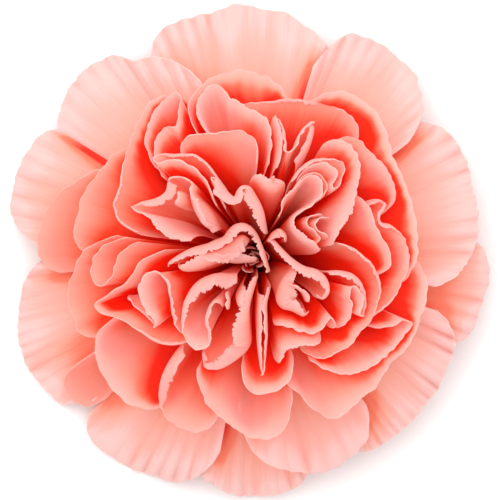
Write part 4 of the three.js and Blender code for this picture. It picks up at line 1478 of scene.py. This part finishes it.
@dataclass
class Greenery:
    """The calyx with its teeth and ribs, the bracts, and the finishes of the hidden parts. Sizes in mm."""

    foot_z: float = 2.5
    mouth_z: float = 22.0
    foot_radius: float = 6.8
    mouth_radius: float = 7.8
    neck_radius: float = 2.5
    foot_round: float = 2.4
    wall: float = 0.7
    tooth_length: float = 3.6
    tooth_flare: float = 0.5
    teeth: int = 5
    ribs: int = 30
    rib_height: float = 0.06
    round_share: float = 0.2
    bracts: int = 4
    bract_length: float = 9.0
    bract_half_angle: float = math.radians(38.0)
    bract_gap: float = 0.55
    bract_thickness: float = 0.45
    bract_bulge: float = 0.25
    bract_rib_height: float = 0.05

    def calyx_side(self, angle: Grid, v: Grid, inset: float) -> Grid:
        """The calyx wall: v goes from the neck round the foot in a quarter of an ellipse, and on up a
        ribbed cone that flares above the mouth, to the toothed edge.

        Args:
            angle: Angles round the axis.
            v: Shares of the way up.
            inset: How far inside the outer face.

        Returns:
            Points in mm.
        """
        tooth = 1.0 - np.abs((angle / (2.0 * np.pi) * self.teeth) % 1.0 * 2.0 - 1.0)
        foot = v < self.round_share
        turn = np.clip(v / self.round_share, 0.0, 1.0) * np.pi / 2.0
        up = np.clip((v - self.round_share) / (1.0 - self.round_share), 0.0, 1.0)
        top = self.mouth_z + self.tooth_length * tooth**0.85
        low = self.foot_z + self.foot_round
        z = np.where(foot, low - self.foot_round * np.cos(turn), low + (top - low) * up)
        share = np.clip((z - low) / (self.mouth_z - low), 0.0, 1.0)
        tube = self.foot_radius + (self.mouth_radius - self.foot_radius) * share
        tube = tube + self.tooth_flare * np.maximum(0.0, z - self.mouth_z)
        bowl = self.neck_radius + (self.foot_radius - self.neck_radius) * np.sin(turn)
        r = np.where(foot, bowl, tube)
        rib = self.rib_height * np.cos(angle * self.ribs) * smooth(up * 6.0)
        r = r + (rib if inset == 0.0 else 0.0) - inset * smooth(v / self.round_share)
        z = z + np.where(foot, inset * np.cos(turn), 0.0)
        return np.stack([r * np.cos(angle), r * np.sin(angle), z], axis=-1)

    def build_calyx(self, finish: bpy.types.Material) -> bpy.types.Object:
        """The hollow calyx: the outer face, the toothed edge and the inner face as one closed sheet.

        Args:
            finish: The calyx's material.

        Returns:
            The finished piece.
        """
        round_once = np.linspace(0.0, 2.0 * np.pi, 181)[:-1]
        angle, v = np.meshgrid(round_once, np.linspace(0.0, 1.0, 40), indexing="ij")
        outer = self.calyx_side(angle, v, 0.0)
        inner = self.calyx_side(angle, v, self.wall)[:, ::-1]
        ring = np.concatenate([outer, inner], axis=1) * MM
        columns, rows = ring.shape[:2]
        index = np.arange(columns * rows).reshape(columns, rows)
        ahead = np.roll(index, -1, axis=0)
        up = np.roll(index, -1, axis=1)
        quads = np.stack([index, ahead, np.roll(ahead, -1, axis=1), up], axis=-1).reshape(-1, 4)
        return self.dress(new_piece("visual_calyx", ring, quads), finish, "calyx")

    def build_bract(self, number: int, finish: bpy.types.Material) -> bpy.types.Object:
        """A pointed scale that hugs the calyx's foot: its half width shrinks to a tip with height, and
        it bulges and is ribbed across.

        Args:
            number: Which bract, from 1.
            finish: The bracts' material.

        Returns:
            The finished piece.
        """
        middle = (number - 0.5) * 2.0 * np.pi / self.bracts
        across, h = np.meshgrid(np.linspace(-1.0, 1.0, 33), np.linspace(0.0, 1.0, 28), indexing="ij")
        half = self.bract_half_angle * (1.0 - 0.95 * h**2.2)
        low = self.foot_z + self.foot_round
        z = low + self.bract_length * h
        tube = self.foot_radius + (self.mouth_radius - self.foot_radius) * (z - low) / (self.mouth_z - low)
        bulge = self.bract_bulge * (1.0 - across**2) * h
        r = tube + self.bract_gap + bulge + self.bract_rib_height * np.cos(across * 22.0)
        angle = middle + across * half
        grid = np.stack([r * np.cos(angle), r * np.sin(angle), z], axis=-1)
        right, left = both_faces(grid, self.bract_thickness)
        uv = np.stack([across, h], axis=-1)
        piece = sheet_mesh(f"visual_bract_{number}", right * MM, left * MM, {}, uv)
        return self.dress(piece, finish, f"bract_{number}")

    def dress(
        self, piece: bpy.types.Object, finish: bpy.types.Material, node: str
    ) -> bpy.types.Object:
        """Gives a piece its material and body, and hides the CAD part of the node that it stands for.

        Args:
            piece: The piece.
            finish: Its material.
            node: The CAD node that it stands for.

        Returns:
            The piece.
        """
        piece.data.materials.append(finish)
        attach(piece, "root")
        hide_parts(node)
        return piece

    def build(self) -> None:
        """Makes the green pieces and finishes the stalk and the pistil."""
        calyx = GreenFinish("calyx_skin", (0.27, 0.42, 0.2), (0.52, 0.64, 0.42), 0.45).build()
        bract = GreenFinish("bract_skin", (0.3, 0.46, 0.23), (0.6, 0.68, 0.46), 0.5).build()
        log.info("piece %s", self.build_calyx(calyx).name)
        for number in range(1, self.bracts + 1):
            log.info("piece %s", self.build_bract(number, bract).name)
        cut = GreenFinish("cut_stalk", (0.42, 0.52, 0.3), (0.74, 0.78, 0.58), 0.6).build()
        pale = GreenFinish("pistil_tissue", (0.8, 0.82, 0.6), (0.95, 0.95, 0.85), 0.4).build()
        nodes = {o.name: o for o in bpy.data.objects}
        for node, finish in (("receptacle", cut), ("pistil", pale)):
            solid = nodes[node]
            solid.data.materials.clear()
            solid.data.materials.append(finish)
            log.info("finished %s", node)


@dataclass
class Studio:
    """A pale floor, soft light from all round and above, and a camera straight above the bloom.
    Sizes in metres, lens and sensor in mm."""

    floor_size: float = 4.0
    floor_z: float = -0.0002
    sky: float = 0.95
    panel_size: float = 1.0
    panel_power: float = 9.0
    panel_at: tuple[float, float, float] = (-0.12, 0.25, 1.1)
    panel_aim: tuple[float, float, float] = (0.0, 0.0, 0.03)
    lens: float = 800.0
    sensor: float = 36.0
    view_end: float = 20.0
    frame_width: float = 0.08
    focus_height: float = 0.040
    aim: Pair = (-0.00096, 0.00064)

    def build_floor(self) -> bpy.types.Object:
        """The floor, a square with its middle on the axis.

        Returns:
            The floor.
        """
        corners = np.array([[-1, -1], [1, -1], [1, 1], [-1, 1]], float) * self.floor_size / 2.0
        points = np.concatenate([corners, np.full((4, 1), self.floor_z)], axis=1)
        floor = new_piece("floor", points, np.array([[0, 1, 2, 3]]))
        paint = Paint("pale_floor")
        grain = paint.noise(paint.place(), 30.0)
        colour = paint.mix(grain, srgb(0.985, 0.985, 0.985), srgb(0.995, 0.995, 0.995))
        shader = paint.node("ShaderNodeBsdfPrincipled", None, {"Base Color": colour, "Roughness": 0.9})
        floor.data.materials.append(paint.close(shader))
        return floor

    def build_light(self) -> None:
        """An even pale sky, and one large soft panel above and a little to the upper left."""
        world = bpy.data.worlds.new("studio")
        world.use_nodes = True
        sky = world.node_tree.nodes["Background"]
        sky.inputs["Color"].default_value = (1.0, 1.0, 1.0, 1.0)
        sky.inputs["Strength"].default_value = self.sky
        bpy.context.scene.world = world
        panel = bpy.data.lights.new("panel", "AREA")
        panel.shape = "DISK"
        panel.size = self.panel_size
        panel.energy = self.panel_power
        lamp = bpy.data.objects.new("panel", panel)
        lamp.location = self.panel_at
        lamp.rotation_euler = (Vector(self.panel_aim) - lamp.location).to_track_quat("-Z", "Y").to_euler()
        bpy.context.scene.collection.objects.link(lamp)

    def build_camera(self) -> bpy.types.Object:
        """The camera: its distance is the lens times the frame's width over the sensor's.

        Returns:
            The camera.
        """
        data = bpy.data.cameras.new("camera")
        data.lens = self.lens
        data.sensor_width = self.sensor
        data.clip_end = self.view_end
        camera = bpy.data.objects.new("camera", data)
        distance = self.frame_width * self.lens / self.sensor
        camera.location = (self.aim[0], self.aim[1], self.focus_height + distance)
        bpy.context.scene.collection.objects.link(camera)
        bpy.context.scene.camera = camera
        return camera

    def build(self) -> None:
        """Makes the floor, the light and the camera, and keeps colours plain."""
        log.info("floor %s", self.build_floor().name)
        self.build_light()
        log.info("camera %s", self.build_camera().name)
        bpy.context.scene.view_settings.view_transform = "Standard"


def main() -> None:
    """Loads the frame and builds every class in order."""
    logging.basicConfig(level=logging.INFO, format="%(name)s: %(message)s")
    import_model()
    Studio().build()
    Crown().build()
    Greenery().build()


if __name__ == "__main__":
    main()
